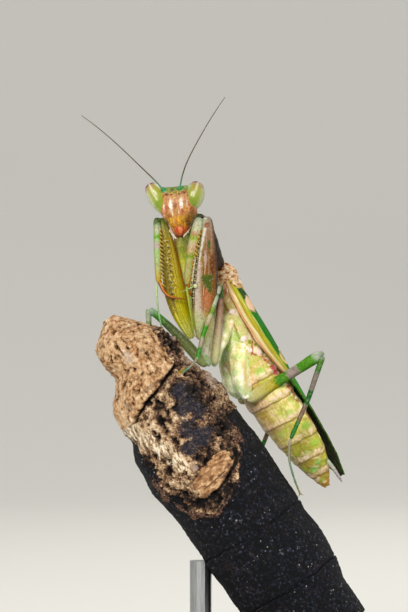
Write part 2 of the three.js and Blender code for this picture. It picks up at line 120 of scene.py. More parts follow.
def on_body(tailward, dorsal, left):
    return BODY_CENTRE + TAILWARD * tailward + DORSAL * dorsal + LEFT * left


def body_place(point):
    """A point's place as (tailward, dorsal, left)."""
    off = point - BODY_CENTRE
    return Vector((off.dot(TAILWARD), off.dot(DORSAL), off.dot(LEFT)))


# ---- modelling helpers --------------------------------------------------------------------------


def at_station(stations, share):
    """Straight-line interpolation in a list of stations, each [share, value, value, ...]."""
    shares = [station[0] for station in stations]
    return [float(np.interp(share, shares, values)) for values in list(zip(*stations))[1:]]


class Route:
    """A smooth curve through a few points. A share runs from 0 at its start to 1 at its end."""

    def __init__(self, points, steps=12):
        padded = [2 * points[0] - points[1], *points, 2 * points[-1] - points[-2]]
        fine = []
        for before, first, last, after in zip(padded, padded[1:], padded[2:], padded[3:]):
            for t in np.arange(steps) / steps:
                fine.append(0.5 * (2 * first + (last - before) * t
                                   + (2 * before - 5 * first + 4 * last - after) * t ** 2
                                   + (3 * first - before - 3 * last + after) * t ** 3))
        fine.append(points[-1])
        self.spots = np.array(fine)
        walked = np.cumsum(np.linalg.norm(np.diff(self.spots, axis=0), axis=1))
        self.shares = np.concatenate([[0], walked / walked[-1]])
        self.length = walked[-1]

    def point(self, share):
        inside = min(max(share, 0), 1)
        spot = Vector([np.interp(inside, self.shares, axis) for axis in self.spots.T])
        return spot + self.along(inside) * (share - inside) * self.length

    def along(self, share):
        step = 0.02
        low, high = max(share - step, 0), min(share + step, 1)
        ends = [Vector([np.interp(s, self.shares, axis) for axis in self.spots.T]) for s in (low, high)]
        return (ends[1] - ends[0]).normalized()


def deselect():
    bpy.ops.object.select_all(action="DESELECT")


def make_active(piece):
    deselect()
    piece.select_set(True)
    bpy.context.view_layer.objects.active = piece


@contextmanager
def editing():
    """Edit mode, for as long as the block below runs."""
    bpy.ops.object.mode_set(mode="EDIT")
    yield
    bpy.ops.object.mode_set(mode="OBJECT")


def named(piece, name):
    piece.name = piece.data.name = name
    return piece


def straight_tube(name, stations, sides, rings):
    """A closed tube one unit high, standing on the origin. A station is [share, broad half, thin half]."""
    shares = [(1 - math.cos(math.pi * k / rings)) / 2 for k in range(rings + 1)]
    deselect()
    bpy.ops.mesh.primitive_circle_add(vertices=sides, radius=1, fill_type="NGON")
    piece = named(bpy.context.object, name)
    with editing():
        old = at_station(stations, 0)
        bpy.ops.transform.resize(value=(old[0], old[1], 1))
        for low, high in zip(shares, shares[1:]):
            new = at_station(stations, high)
            bpy.ops.mesh.extrude_region_move(TRANSFORM_OT_translate={"value": (0, 0, high - low)})
            bpy.ops.transform.resize(value=(new[0] / old[0], new[1] / old[1], 1),
                                     center_override=(0, 0, high))
            old = new
        bpy.ops.mesh.select_all(action="SELECT")
        bpy.ops.mesh.normals_make_consistent(inside=False)
    return piece


def lay_along(piece, line, broad_way, stations, relief=None):
    """Bends a straight tube onto a smooth line, and notes where each corner lies on it: its side
    along the broad way, its side along the thin way, and its share of the length. A fourth value
    in a station lifts the tube's broad edges away from the thin way.
    """
    route = Route(line)
    lies = []
    for vertex in piece.data.vertices:
        x, y, share = vertex.co
        broad_half, thin_half, *lift = at_station(stations, share)
        angle = math.atan2(y / thin_half, x / broad_half)
        along = route.along(share)
        broad = (broad_way - along * broad_way.dot(along)).normalized()
        thin = along.cross(broad)
        size = 1 + (relief(share, angle) if relief else 0)
        edge = (x / broad_half) ** 2 * (lift[0] if lift else 0)
        vertex.co = route.point(share) + broad * x * size + thin * (y * size - edge)
        lies.append((math.cos(angle), math.sin(angle), share))
    note(piece, "lie", lies)
    return piece


def note(piece, name, values):
    """Keeps three numbers for each corner, which a finish reads by their name."""
    mesh = piece.data
    if name not in mesh.attributes:
        mesh.attributes.new(name=name, type="FLOAT_VECTOR", domain="POINT")
    mesh.attributes[name].data.foreach_set("vector", np.array(values, np.float32).ravel())


def raised(piece, relief):
    """Moves each corner out by relief(its place), and notes how far it went."""
    corners_out = [(vertex, vertex.normal.copy(), relief(vertex.co)) for vertex in piece.data.vertices]
    for vertex, way, rise in corners_out:
        vertex.co += way * rise
    note(piece, "rise", [(rise, 0, 0) for vertex, way, rise in corners_out])


def modified(piece, kind, **settings):
    """Adds a modifier to a piece and applies it."""
    make_active(piece)
    bpy.ops.object.modifier_add(type=kind)
    for name, value in settings.items():
        setattr(piece.modifiers[-1], name, value)
    bpy.ops.object.modifier_apply(modifier=piece.modifiers[-1].name)


def smoothed(piece, levels=1):
    modified(piece, "SUBSURF", levels=levels, render_levels=levels)
    bpy.ops.object.shade_smooth()
    return piece


def limb(name, line, broad_way, stations, finish, sides=12, rings=16, relief=None, levels=1):
    piece = straight_tube(name, stations, sides, rings)
    lay_along(piece, line, broad_way, stations, relief)
    smoothed(piece, levels)
    piece.data.materials.append(finish)
    return piece


def jointed(count, swell):
    """A relief that swells once along each of a number of joints."""
    return lambda share, angle: swell * math.cos(share * 2 * math.pi * count)


def lumps(place, hills):
    """The height of some round hills at a place. A hill is (middle, radius, height)."""
    return sum(height * math.exp(-((place - Vector(summit)).length / radius) ** 2)
               for summit, radius, height in hills)


def ridged(place, scale):
    """Noise with sharp ridges, from -1 in the hollows to 1 on the ridges."""
    return 1 - 2 * abs(noise.noise(place * scale))


def copied(piece, name):
    twin = piece.copy()
    twin.data = piece.data.copy()
    bpy.context.scene.collection.objects.link(twin)
    return named(twin, name)


def joined(name, pieces):
    deselect()
    for piece in pieces:
        piece.select_set(True)
    bpy.context.view_layer.objects.active = pieces[0]
    bpy.ops.object.join()
    return named(pieces[0], name)


def settled(piece, slot, *nodes):
    """Brings a finished piece from millimetres to metres and lets it stand for its CAD nodes."""
    piece.data.transform(Matrix.Scale(MM, 4))
    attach(piece, "root")
    if nodes:
        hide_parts(*nodes)
    return piece


THORN_STATIONS = [[0, 1, 1], [0.45, 0.72, 0.72], [0.8, 0.36, 0.36], [1, 0.07, 0.07]]


def thorns(name, places, finish, bow=Vector((0, 0, 0))):
    """Spines as one piece. Each place is (root, tip, radius), and bow is how far their middles bend."""
    pattern = straight_tube(name + "_pattern", THORN_STATIONS, 9, 4)
    pattern.data.materials.append(finish)
    pieces = []
    for root, tip, radius in places:
        thorn = copied(pattern, name)
        thorn.data.transform(Matrix.Diagonal((radius, radius, 1, 1)))
        stations = [[share, wide * radius, deep * radius] for share, wide, deep in THORN_STATIONS]
        side = FRONT if abs((tip - root).normalized().dot(FRONT)) < 0.8 else UP
        lay_along(thorn, [root, (root + tip) / 2 + bow, tip], side, stations)
        make_active(thorn)
        bpy.ops.object.shade_smooth()
        pieces.append(thorn)
    bpy.data.objects.remove(pattern)
    return joined(name, pieces)


# ---- finishes -----------------------------------------------------------------------------------


def tint(code):
    """A colour written rrggbb, as the linear values that a shader takes."""
    parts = [int(code[k:k + 2], 16) / 255 for k in (0, 2, 4)]
    return tuple(c / 12.92 if c <= 0.04045 else ((c + 0.055) / 1.055) ** 2.4 for c in parts) + (1.0,)


RICHNESS = 1.25                   # how much fuller the living colours are than their codes
DEEP = 9                          # a half size that takes in every depth
SCATTER = 0.0006                  # how far light spreads under the skin, in metres
LEG_SKIN = {"roughness": 0.45, "specular": 0.2, "subsurface": 0.06}


class Finish:
    """A procedural material. What a method returns is the output of the node that it adds, and
    paint is the colour so far, on which lay, fade, dab and fleck put more.
    """

    def __init__(self, name, roughness=0.45, coat=0.0, metallic=0.0, specular=0.5, subsurface=0.0,
                 rich=RICHNESS, light=1.0):
        self.rich, self.light, self.paint = rich, light, None
        self.material = bpy.data.materials.new(name)
        self.material.use_nodes = True
        tree = self.material.node_tree
        self.nodes, self.links = tree.nodes, tree.links
        self.shader = self.nodes["Principled BSDF"]
        values = {"Roughness": roughness, "Coat Weight": coat, "Metallic": metallic,
                  "Specular IOR Level": specular, "Subsurface Weight": subsurface}
        for socket, value in values.items():
            self.shader.inputs[socket].default_value = value
        if subsurface:
            self.shader.inputs["Subsurface Scale"].default_value = SCATTER
        self.lie = self.put("Attribute", 1, attribute_name="lie", attribute_type="GEOMETRY")
        self.broad, self.thin, self.share = self.split(self.lie)
        # Object coordinates are metres, so one unit of self.place is a millimetre.
        place = self.put("TexCoord", "Object")
        self.place = self.put("Mapping", inputs={"Vector": place, "Scale": (1 / MM,) * 3})

    def put(self, kind, output=0, inputs=None, **settings):
        node = self.nodes.new("ShaderNode" + kind)
        for key, value in settings.items():
            setattr(node, key, value)
        for key, value in (inputs or {}).items():
            if isinstance(value, bpy.types.NodeSocket):
                self.links.new(value, node.inputs[key])
            else:
                node.inputs[key].default_value = value
        return node.outputs[output]

    def split(self, vector):
        node = self.put("SeparateXYZ", inputs={0: vector}).node
        return node.outputs[0], node.outputs[1], node.outputs[2]

    def math(self, operation, a, b=0.0, c=0.0):
        return self.put("Math", inputs={0: a, 1: b, 2: c}, operation=operation)

    def scaled(self, value, factor, more):
        """value * factor + more."""
        return self.math("MULTIPLY_ADD", value, factor, more)

    def size(self, value):
        """A number without its sign."""
        return self.math("ABSOLUTE", value)

    def vector(self, operation, a, b=(0, 0, 0)):
        output = 1 if operation in ("LENGTH", "DISTANCE") else 0
        return self.put("VectorMath", output, inputs={0: a, 1: b}, operation=operation)

    def ramp(self, value, run):
        """The colour that a run of colours has at a value. A run is text such as "0 ffffff, 1 000000"."""
        stops = [stop.split() for stop in run.split(",")]
        node = self.put("ValToRGB", inputs={0: value}).node
        elements = node.color_ramp.elements
        while len(elements) < len(stops):
            elements.new(0.5)
        for element, stop in zip(elements, stops):
            element.position = float(stop[0])
        for element, stop in zip(elements, stops):
            element.color = tint(stop[1])
        return node.outputs[0]

    def between(self, value, low, high):
        """0 at low and 1 at high, with soft ends. low may be above high."""
        return self.put("MapRange", inputs={"Value": value, "From Min": low, "From Max": high},
                        interpolation_type="SMOOTHSTEP")

    def mix(self, factor, *colours):
        """The first of two colours where factor is 0, and the second where it is 1."""
        base, top = (tint(colour) if isinstance(colour, str) else colour for colour in colours)
        return self.put("Mix", 2, inputs={0: factor, 6: base, 7: top}, data_type="RGBA")

    def lay(self, top, *zones):
        """Lays a colour over the paint where all the zones hold. A zone may be a plain strength."""
        self.paint = self.mix(reduce(self.both, zones), self.paint, top)

    def fade(self, top, value, low, high, *zones):
        """Lays a colour over the paint that comes in as value goes from low to high."""
        self.lay(top, self.between(value, low, high), *zones)

    def noise(self, vector, scale, detail=3.0, rough=0.55, stretch=None):
        if stretch:
            vector = self.vector("MULTIPLY", vector, stretch)
        return self.put("TexNoise", inputs={"Vector": vector, "Scale": scale, "Detail": detail,
                                            "Roughness": rough})

    def cells(self, scale):
        """The distance to the nearest of some scattered points."""
        return self.put("TexVoronoi", inputs={"Vector": self.place, "Scale": scale})

    def wobbled(self, vector, amount, scale=1.5):
        """A vector shifted a little by noise, so that marks placed with it get uneven edges."""
        colour = self.put("TexNoise", 1, inputs={"Vector": self.place, "Scale": scale})
        centred = self.vector("SUBTRACT", colour, (0.5, 0.5, 0.5))
        return self.vector("ADD", vector, self.vector("MULTIPLY", centred, (amount,) * 3))

    def spot(self, vector, centre, size, soft=0.5):
        """1 within an ellipsoid of the given half sizes, fading to 0 at its edge."""
        off = self.vector("DIVIDE", self.vector("SUBTRACT", vector, centre), size)
        return self.between(self.vector("LENGTH", off), 1.0, 1.0 - soft)

    def line(self, value, centre, half, soft=0.5):
        """1 where value is within half of centre, fading to 0 at the edge."""
        off = self.size(self.math("SUBTRACT", value, centre))
        return self.between(off, half, half * (1.0 - soft))

    def both(self, a, b):
        return self.math("MULTIPLY", a, b)

    def bump(self, height, strength, distance):
        """distance is in millimetres."""
        node = self.put("Bump", inputs={"Height": height, "Strength": strength, "Distance": distance * MM})
        self.links.new(node, self.shader.inputs["Normal"])

    def shifted(self, colour, **changes):
        """A colour with another Value, Saturation or Hue."""
        return self.put("HueSaturation", inputs={"Color": colour, **changes})

    def coloured(self):
        """The material, with its paint on it."""
        if self.rich != 1.0 or self.light != 1.0:
            self.paint = self.shifted(self.paint, Saturation=self.rich, Value=self.light)
        self.links.new(self.paint, self.shader.inputs["Base Color"])
        return self.material

    def noted(self, name):
        """The three numbers that note() kept under a name."""
        return self.put("Attribute", 1, attribute_name=name, attribute_type="GEOMETRY")

    def rise(self):
        """How far the surface was raised."""
        return self.split(self.noted("rise"))[0]

    def sides(self, wobble, scale):
        """The uneven side along the broad way, and the uneven share of the length."""
        return self.split(self.wobbled(self.lie, wobble, scale))[::2]

    def faced(self, wobble, scale):
        """Places as they lie from the front, in millimetres, with their depth taken out."""
        return self.vector("MULTIPLY", self.wobbled(self.place, wobble, scale), (1, 0, 1))

    def ribbon(self, place, points, half, soft=0.5):
        """1 within half of a bent line through points, fading to 0 at its edge."""
        nearest = None
        for start, end in zip(points, points[1:]):
            way = Vector(end) - Vector(start)
            off = self.vector("SUBTRACT", place, start)
            share = self.put("VectorMath", 1, inputs={0: off, 1: way / way.length_squared},
                             operation="DOT_PRODUCT")
            step = self.put("VectorMath", inputs={0: way, 3: self.put("Clamp", inputs={0: share})},
                            operation="SCALE")
            gap = self.vector("LENGTH", self.vector("SUBTRACT", off, step))
            nearest = gap if nearest is None else self.math("MINIMUM", nearest, gap)
        return self.between(nearest, half, half * (1 - soft))

    def dab(self, place, dabs, soft=0.6):
        """Lays spots of colour. A dab is (middle, half sizes, colour, strength). A spot takes in every
        depth where the third half size is left out.
        """
        for centre, size, code, strength in dabs:
            self.lay(code, self.spot(place, (*centre, 0)[:3], (*size, DEEP)[:3], soft), strength)

    def dab_front(self, place, dabs, soft=0.6):
        """Lays spots as they lie from the front: (x, z, half width, half height, colour, strength)."""
        self.dab(place, [((x, 0, z), (wide, DEEP, tall), code, strength)
                         for x, z, wide, tall, code, strength in dabs], soft)

    def fleck(self, dark, light, amount, scale):
        """Lays small dark flecks, with pale ones between them."""
        self.fade(dark, self.noise(self.place, scale * 1.3, 5.0, 0.6), 0.49, 0.68, amount)
        self.fade(light, self.noise(self.place, scale * 2.1, 4.0, 0.6), 0.48, 0.3, amount * 0.7)

    def grained(self, amount, scale=9.0):
        """The material, with its paint on it and the fine grain of an insect's shell."""
        self.bump(self.noise(self.place, scale, 2.0), amount, 0.03)
        return self.coloured()


# ---- head ---------------------------------------------------------------------------------------

EYE_MIDDLES = {side: middle("eye_" + side) for side in SIDES}
HEAD_ACROSS = (EYE_MIDDLES["left"] - EYE_MIDDLES["right"]).normalized()
HEAD_MIDDLE = (EYE_MIDDLES["left"] + EYE_MIDDLES["right"]) / 2
LIP = middle("mouth") - UP * 0.75
HEAD_UP = (HEAD_MIDDLE - LIP).normalized()
HEAD_FRONT = HEAD_ACROSS.cross(HEAD_UP)


def on_head(across, up, front):
    """A point from its place on the head, in millimetres from the middle between the eyes."""
    return HEAD_MIDDLE + HEAD_ACROSS * across + HEAD_UP * up + HEAD_FRONT * front


def head_place(point):
    off = point - HEAD_MIDDLE
    return Vector((off.dot(HEAD_ACROSS), off.dot(HEAD_UP), off.dot(HEAD_FRONT)))


def note_head_places(piece):
    note(piece, "lie", [head_place(vertex.co) for vertex in piece.data.vertices])


# Colours from the top of the head down to the lip, and the marks on it, some of them painted shade low on
# the cheeks. A mark's middle and half sizes are places across and up the face.
FACE_TOP = 1.4
FACE_LENGTH = 6.2
FACE_COLOURS = ("0 4f7a34, 0.1 6f9440, 0.15 8f9450, 0.19 b0885a, 0.27 c89c74, 0.4 c89a74, 0.52 bc8c5c, "
                "0.58 b08048, 0.64 c4963e, 0.74 c08a3a, 0.82 b85a34, 0.92 a8542a, 1 3a1c10")
# The dark olive and brown marks on the cheeks' sides, at (1.2, -2.9), (-1.05, -2.95), (1.7, -2.2), (1.75,
# -1.75) and (-1.7, -1.9), are painted shade.
FACE_MARKS_AND_SHADE = [
    ((-0.55, -1.05), (0.3, 1.0), "fff6ea", 1.0), ((0.6, -1.0), (0.32, 0.95), "fff6ea", 1.0),
    ((-0.4, -1.95), (0.14, 0.5), "f0d8b8", 0.8), ((0.3, -1.9), (0.12, 0.4), "f0d8b8", 0.7),
    ((-0.08, -1.1), (0.3, 0.7), "8f3f2a", 0.9), ((-0.08, -1.1), (0.11, 0.45), "7a6a3a", 0.8),
    ((-0.98, -1.3), (0.2, 0.6), "b85a50", 0.85), ((0.64, -1.85), (0.2, 0.55), "b85a50", 0.9),
    ((0.98, -1.5), (0.22, 0.5), "cf8a2c", 0.9), ((-1.3, -1.1), (0.16, 0.6), "f6e2c8", 0.8),
    ((1.2, -1.0), (0.14, 0.6), "ecd4b4", 0.7), ((-1.4, -2.07), (0.32, 0.35), "dca694", 0.7),
    ((1.7, -2.2), (0.45, 0.5), "8a6a34", 0.85), ((-0.3, -2.75), (0.1, 0.5), "e0b09a", 0.8),
    ((0.25, -2.8), (0.11, 0.5), "e8bc58", 0.85), ((0.0, -2.7), (0.09, 0.4), "b8583a", 0.7),
    ((-0.6, -2.75), (0.11, 0.45), "e4b050", 0.8), ((0.6, -2.8), (0.1, 0.4), "a8522a", 0.8),
    ((1.2, -2.9), (0.4, 0.9), "4a3c12", 0.95), ((-1.05, -2.95), (0.3, 0.7), "4f4614", 0.95),
    ((1.55, -2.8), (0.2, 0.4), "a8702c", 0.8), ((-0.95, 0.16), (0.36, 0.22), "5f3018", 1.0),
    ((0.95, 0.22), (0.4, 0.22), "6f3420", 1.0), ((-0.45, 0.1), (0.2, 0.16), "5f3418", 1.0),
    ((0.42, 0.12), (0.2, 0.16), "5f3418", 1.0), ((0.0, 0.28), (0.3, 0.12), "5f7a30", 0.8),
    ((1.75, -1.75), (0.4, 0.6), "6f4c24", 0.85), ((-1.7, -1.9), (0.3, 0.5), "94603c", 0.7),
    ((-0.42, -3.78), (0.32, 0.38), "a82c20", 0.9), ((0.37, -3.7), (0.36, 0.35), "dc7862", 0.9)]


def face_finish():
    """Cream and pink with red-brown stripes, green along the top and orange towards the lip."""
    face = Finish("face", roughness=0.45, specular=0.25, subsurface=0.06, rich=1.1, light=0.76)
    place = face.wobbled(face.lie, 0.17, 3.2)
    across, up = face.split(place)[:2]
    down = face.scaled(up, -1 / FACE_LENGTH, FACE_TOP / FACE_LENGTH)
    face.paint = face.ramp(down, FACE_COLOURS)
    side = face.size(face.math("SUBTRACT", across, 0.08))
    # The cheeks' colour: pinkish above, and darker olive below as painted shade.
    cheek_tone_and_shade = face.mix(face.between(up, -1.6, -2.6), "c98f66", "7a5a20")
    face.fade(cheek_tone_and_shade, side, 1.0, 1.3, face.between(up, 0.4, 0.0))
    face.dab(place, FACE_MARKS_AND_SHADE, 0.75)
    streaks = face.noise(place, 1.0, 5.0, 0.65, stretch=(4.2, 1.5, 1.5))
    face.fade("8f4a28", streaks, 0.5, 0.68, 0.7)
    face.fleck("5a3014", "e8c8a4", 0.6, 3.2)
    bosses = face.math("MAXIMUM", face.spot(place, (-1.3, 0.72, 0), (0.55, 0.42, DEEP), 0.6),
                       face.spot(place, (0.53, 0.74, 0), (0.5, 0.36, DEEP), 0.6))
    face.lay("2f8456", bosses, 0.85)
    rise = face.rise()
    # Darker brown where the face is sunk: painted shade in its hollows.
    face.fade("5f3418", rise, -0.04, -0.14, 0.5)
    return face.grained(0.45, 6.0)


# Each eye's painted highlight (a streak of light colour), its low green spot and its orange tinge, from the
# front.
EYE_HIGHLIGHT_STREAKS = {"right": [(-8.62, 0, 59.5), (-8.3, 0, 58.7), (-7.78, 0, 57.8)],
               "left": [(-3.33, 0, 59.6), (-3.5, 0, 58.9), (-3.8, 0, 58.2)]}
EYE_SPOTS = {"right": (-7.72, 57.2), "left": (-3.95, 57.5)}


def eye_finish(side):
    """Yellow-green with pale rims, a dark red cap and a painted highlight streak."""
    # The left eye's finish is made darker than the right eye's: painted shade.
    eye = Finish("eye_" + side, roughness=0.36, coat=0.2, specular=0.4, subsurface=0.1, rich=1.1,
                 light=0.66 if side == "left" else 0.72)
    core = eye.ramp(eye.share, "0 a8ac5c, 0.15 8fa236, 0.4 86982c, 0.6 9aa23e, 0.8 a8a44e, 0.92 b39c6a, "
                               "0.965 8a4450, 1 4a1c2a")
    rim = eye.ramp(eye.share, "0 b4bc7c, 0.4 c4cc9c, 0.8 ccd0a8, 0.93 a87a78, 0.97 5c2834, 1 4a1c2a")
    edge = eye.size(eye.broad)
    eye.paint = eye.mix(eye.between(edge, 0.42, 0.88), core, rim)
    place = eye.faced(0.1, 3.0)
    x, z = EYE_SPOTS[side]
    eye.dab_front(place, [
        (x, z, 0.5, 0.75, "74942c", 0.6), (x + 0.25, z + 1.6, 0.3, 0.5, "b8923e", 0.5)], 0.9)
    # A pale streak down each eye: a painted highlight.
    painted_highlight = eye.ribbon(place, EYE_HIGHLIGHT_STREAKS[side], 0.22, 1.0)
    eye.lay("eef0d0", painted_highlight, 0.6)
    facets = eye.cells(14.0)
    grain = eye.noise(eye.place, 3.0, 4.0, 0.6)
    eye.fade("6f7a2a", grain, 0.5, 0.68, 0.25)
    eye.bump(facets, 0.12, 0.01)
    return eye.coloured()


def shell_finish(name, low, high, roughness=0.45, coat=0.0, turn=(0.0, 1.0)):
    """A plain bit of shell that runs from one colour at its root to another at its tip."""
    shell = Finish(name, roughness=roughness, coat=coat, specular=0.45)
    shell.paint = shell.mix(shell.between(shell.share, *turn), low, high)
    grain = shell.noise(shell.place, 5.0, 3.0)
    dark = shell.shifted(shell.paint, Value=0.55)
    light = shell.shifted(shell.paint, Value=1.3, Saturation=0.8)
    shell.fade(light, grain, 0.46, 0.36, 0.6)
    shell.fade(dark, grain, 0.52, 0.66, 0.6)
    return shell.grained(0.2)


HEAD_STATIONS = [[0, 1.5, 0.5], [0.05, 1.92, 0.95], [0.14, 2.12, 1.25], [0.3, 2.02, 1.4], [0.48, 1.86, 1.36],
                 [0.6, 1.68, 1.24], [0.78, 1.14, 0.98], [0.92, 0.76, 0.74], [1, 0.45, 0.5]]
FEELER_ROOTS = {"left": (0.53, 0.78, 1.22), "right": (-1.28, 0.78, 1.02)}
FACE_HILLS = [((-1.3, 0.72, 1.0), 0.42, 0.26), ((0.53, 0.74, 1.3), 0.42, 0.24),
              ((-0.08, 0.1, 1.4), 0.4, 0.2), ((1.5, -1.9, 0.9), 0.5, 0.04),
              ((-1.5, -1.8, 0.9), 0.5, 0.04), ((-0.08, -1.1, 1.5), 0.3, 0.08)]


def face_relief(point):
    """How far the face stands out, in millimetres, at a point of it."""
    place = head_place(point)
    across, up, front = place
    side = abs(across - 0.05)
    crown = -0.2 * math.exp(-((side - 0.4) / 0.3) ** 2 - ((up - 0.75) / 0.3) ** 2)
    shield = 0.12 * math.exp(-(side / 0.95) ** 4 - ((up + 1.1) / 1.0) ** 2)
    lip_plate = 0.12 * math.exp(-(side / 0.72) ** 4 - ((up + 2.8) / 0.6) ** 4)
    cheek_groove = -0.05 * math.exp(-((side - 0.42 - 0.32 * (up + 4.2)) / 0.12) ** 2) * (up < -1.6)
    grain = 0.035 * ridged(point, 2.3) + 0.03 * noise.noise(point * 4.5)
    facing = min(1, max(0, (front - 0.1) / 0.5))
    return (crown + shield + lip_plate + cheek_groove + lumps(place, FACE_HILLS)) * facing + grain


def make_head(face):
    line = [on_head(0.05, 1.02, 0.05), on_head(0.05, -1.2, 0.12), on_head(0.12, -3.0, 0.1),
            on_head(0.1, -4.2, 0.05)]
    head = straight_tube("head_capsule", HEAD_STATIONS, 28, 26)
    lay_along(head, line, HEAD_ACROSS, HEAD_STATIONS)
    smoothed(head, 2)
    for vertex in head.data.vertices:
        across, up = head_place(vertex.co)[:2]
        low = min(1, max(0, -0.9 - up)) * min(1, max(0, (4.4 + up) / 0.6))
        if across > 0:
            vertex.co += HEAD_ACROSS * across * 0.24 * low
    raised(head, face_relief)
    head.data.materials.append(face)
    note_head_places(head)
    return head


def bead(name, centre, radius, flat, way, finish):
    """A low round boss that faces way."""
    deselect()
    bpy.ops.mesh.primitive_uv_sphere_add(segments=16, ring_count=10, radius=radius)
    piece = named(bpy.context.object, name)
    with editing():
        bpy.ops.transform.resize(value=(1, 1, flat))
    note(piece, "lie", [(0, 0, 0.5 + vertex.co.z / (2 * radius * flat)) for vertex in piece.data.vertices])
    piece.data.transform(Matrix.Translation(centre) @ way.to_track_quat("Z", "Y").to_matrix().to_4x4())
    piece.data.materials.append(finish)
    bpy.ops.object.shade_smooth()
    return piece


def make_face_details(face):
    """The three simple eyes and the knobs that the feelers stand on."""
    glint = shell_finish("simple_eye", "94783c", "c4ac6c", 0.25, 0.3)
    details = [bead("simple_eye_low", on_head(-0.04, -0.26, 1.62), 0.1, 0.7, HEAD_FRONT, glint)]
    for side in (-1, 1):
        way = (HEAD_FRONT + HEAD_UP * 0.5 + HEAD_ACROSS * 0.5 * side).normalized()
        details.append(bead("simple_eye_high", on_head(-0.04 + 0.3 * side, 0.2, 1.62), 0.09, 0.7, way, glint))
    for side, place in FEELER_ROOTS.items():
        way = (HEAD_FRONT * 0.7 + HEAD_UP).normalized()
        knob = bead("feeler_knob_" + side, on_head(*place) - HEAD_FRONT * 0.05, 0.26, 0.8, way, face)
        note_head_places(knob)
        details.append(knob)
    return details


RIGHT_EYE_OUTLINE = [[0, 0.15], [0.03, 0.36], [0.08, 0.54], [0.16, 0.74], [0.27, 0.9], [0.4, 1.0],
                     [0.52, 1.0], [0.65, 0.94], [0.77, 0.84], [0.87, 0.72], [0.94, 0.58], [0.98, 0.42],
                     [1, 0.2]]
LEFT_EYE_OUTLINE = [[0, 0.15], [0.03, 0.34], [0.08, 0.52], [0.16, 0.7], [0.27, 0.87], [0.4, 0.98],
                    [0.52, 1.0], [0.65, 0.94], [0.77, 0.82], [0.87, 0.66], [0.94, 0.5], [0.98, 0.34],
                    [1, 0.16]]
# How much broader and deeper the domes are than their outlines, and how far they stand towards the
# body's left at their low end, middle and top.
EYES = {"left": (LEFT_EYE_OUTLINE, 1.24, 1.26, (-0.62, -0.2, 0.08)),
        "right": (RIGHT_EYE_OUTLINE, 1.08, 1.2, (0.45, 0.3, -0.1))}


def make_eye(side):
    """An upright dome that leans a little more than its solid does."""
    line = centre_line("eye_" + side, LIP, cuts=5, trim=0.1)
    route = Route(line)
    outline, broad, deep, shifts = EYES[side]
    reach = [route.point(share) - UP * 0.08 + HEAD_ACROSS * float(np.interp(share, (0, 0.5, 1), shifts))
             for share in (-0.14, 0.18, 0.5, 0.8, 1.06)]
    stations = [[share, size * broad, size * deep] for share, size in outline]
    eye = limb("eye_" + side + "_dome", reach, HEAD_ACROSS, stations, eye_finish(side), sides=20, rings=22)
    return settled(eye, "eye", "eye_" + side)


def make_feeler(side, finish):
    """A feeler of many short joints, thinning from a thicker root."""
    line = centre_line("antenna_" + side, LIP, cuts=9, trim=0.03)
    root = on_head(*FEELER_ROOTS[side])
    points = [root - HEAD_FRONT * 0.25, root + (line[0] - root) * 0.5, *line]
    stations = [[0, 0.15, 0.15], [0.03, 0.16, 0.16], [0.05, 0.095, 0.095], [0.4, 0.065, 0.065],
                [0.8, 0.05, 0.05], [1, 0.035, 0.035]]
    feeler = limb("feeler_" + side, points, FRONT, stations, finish, sides=8, rings=135,
                  relief=jointed(45, 0.12))
    return settled(feeler, "antenna", "antenna_" + side)


def make_palp(side, finish):
    line = centre_line("palp_" + side, HEAD_MIDDLE, cuts=4, trim=0.08)
    stations = [[0, 0.07, 0.07], [0.1, 0.11, 0.1], [0.34, 0.065, 0.065], [0.4, 0.11, 0.1],
                [0.66, 0.065, 0.065], [0.72, 0.1, 0.1], [0.9, 0.09, 0.09], [1, 0.04, 0.04]]
    palp = limb("palp_" + side + "_joints", line, FRONT, stations, finish, sides=10, rings=28)
    return settled(palp, "mouthparts", "palp_" + side)


def lip_finish():
    """Orange-brown, darker down its sides and towards its tip, with a pinkish patch."""
    lip = Finish("lip", roughness=0.5, specular=0.3, subsurface=0.05, rich=1.1, light=0.85)
    broad, share = lip.sides(0.2, 3.0)
    lip.paint = lip.ramp(share, "0 8f5424, 0.3 b06c34, 0.55 c0683c, 0.8 9c4820, 1 3f1c0c")
    lip.lay("cc7c66", lip.line(broad, 0.35, 0.35), lip.line(share, 0.45, 0.3))
    lip.lay("a83a24", lip.line(broad, -0.45, 0.3), lip.line(share, 0.4, 0.3))
    lip.fade("5a3414", lip.size(broad), 0.7, 0.95, 0.8)
    lip.fleck("5f2810", "ecb890", 0.45, 3.0)
    return lip.grained(0.4, 6.0)


LIP_PLATE = [[0, 0.44, 0.16], [0.15, 0.6, 0.24], [0.5, 0.54, 0.24], [0.8, 0.34, 0.2], [1, 0.12, 0.1]]
JAW = [[0, 0.5, 0.3], [0.4, 0.48, 0.3], [0.8, 0.3, 0.22], [1, 0.1, 0.1]]


def make_mouth():
    """The upper lip in front, with a jaw on each side behind it."""
    red = lip_finish()
    dark = shell_finish("jaw", "a0602c", "3a1c0c", 0.4, 0.1, (0.4, 0.9))
    line = [on_head(0.05, -3.05, 0.72), on_head(0.05, -3.75, 0.74), on_head(0.12, -4.5, 0.3)]
    parts = [limb("lip_plate", line, HEAD_ACROSS, LIP_PLATE, red, sides=14, rings=12)]
    for side in (-1, 1):
        line = [on_head(0.05 + 0.68 * side, -3.0, 0.1), on_head(0.08 + 0.56 * side, -3.8, 0.25),
                on_head(0.12 + 0.12 * side, -4.6, 0.2)]
        parts.append(limb("jaw", line, HEAD_FRONT, JAW, dark, sides=10, rings=10))
    return settled(joined("mouth_parts", parts), "mouthparts", "mouth")


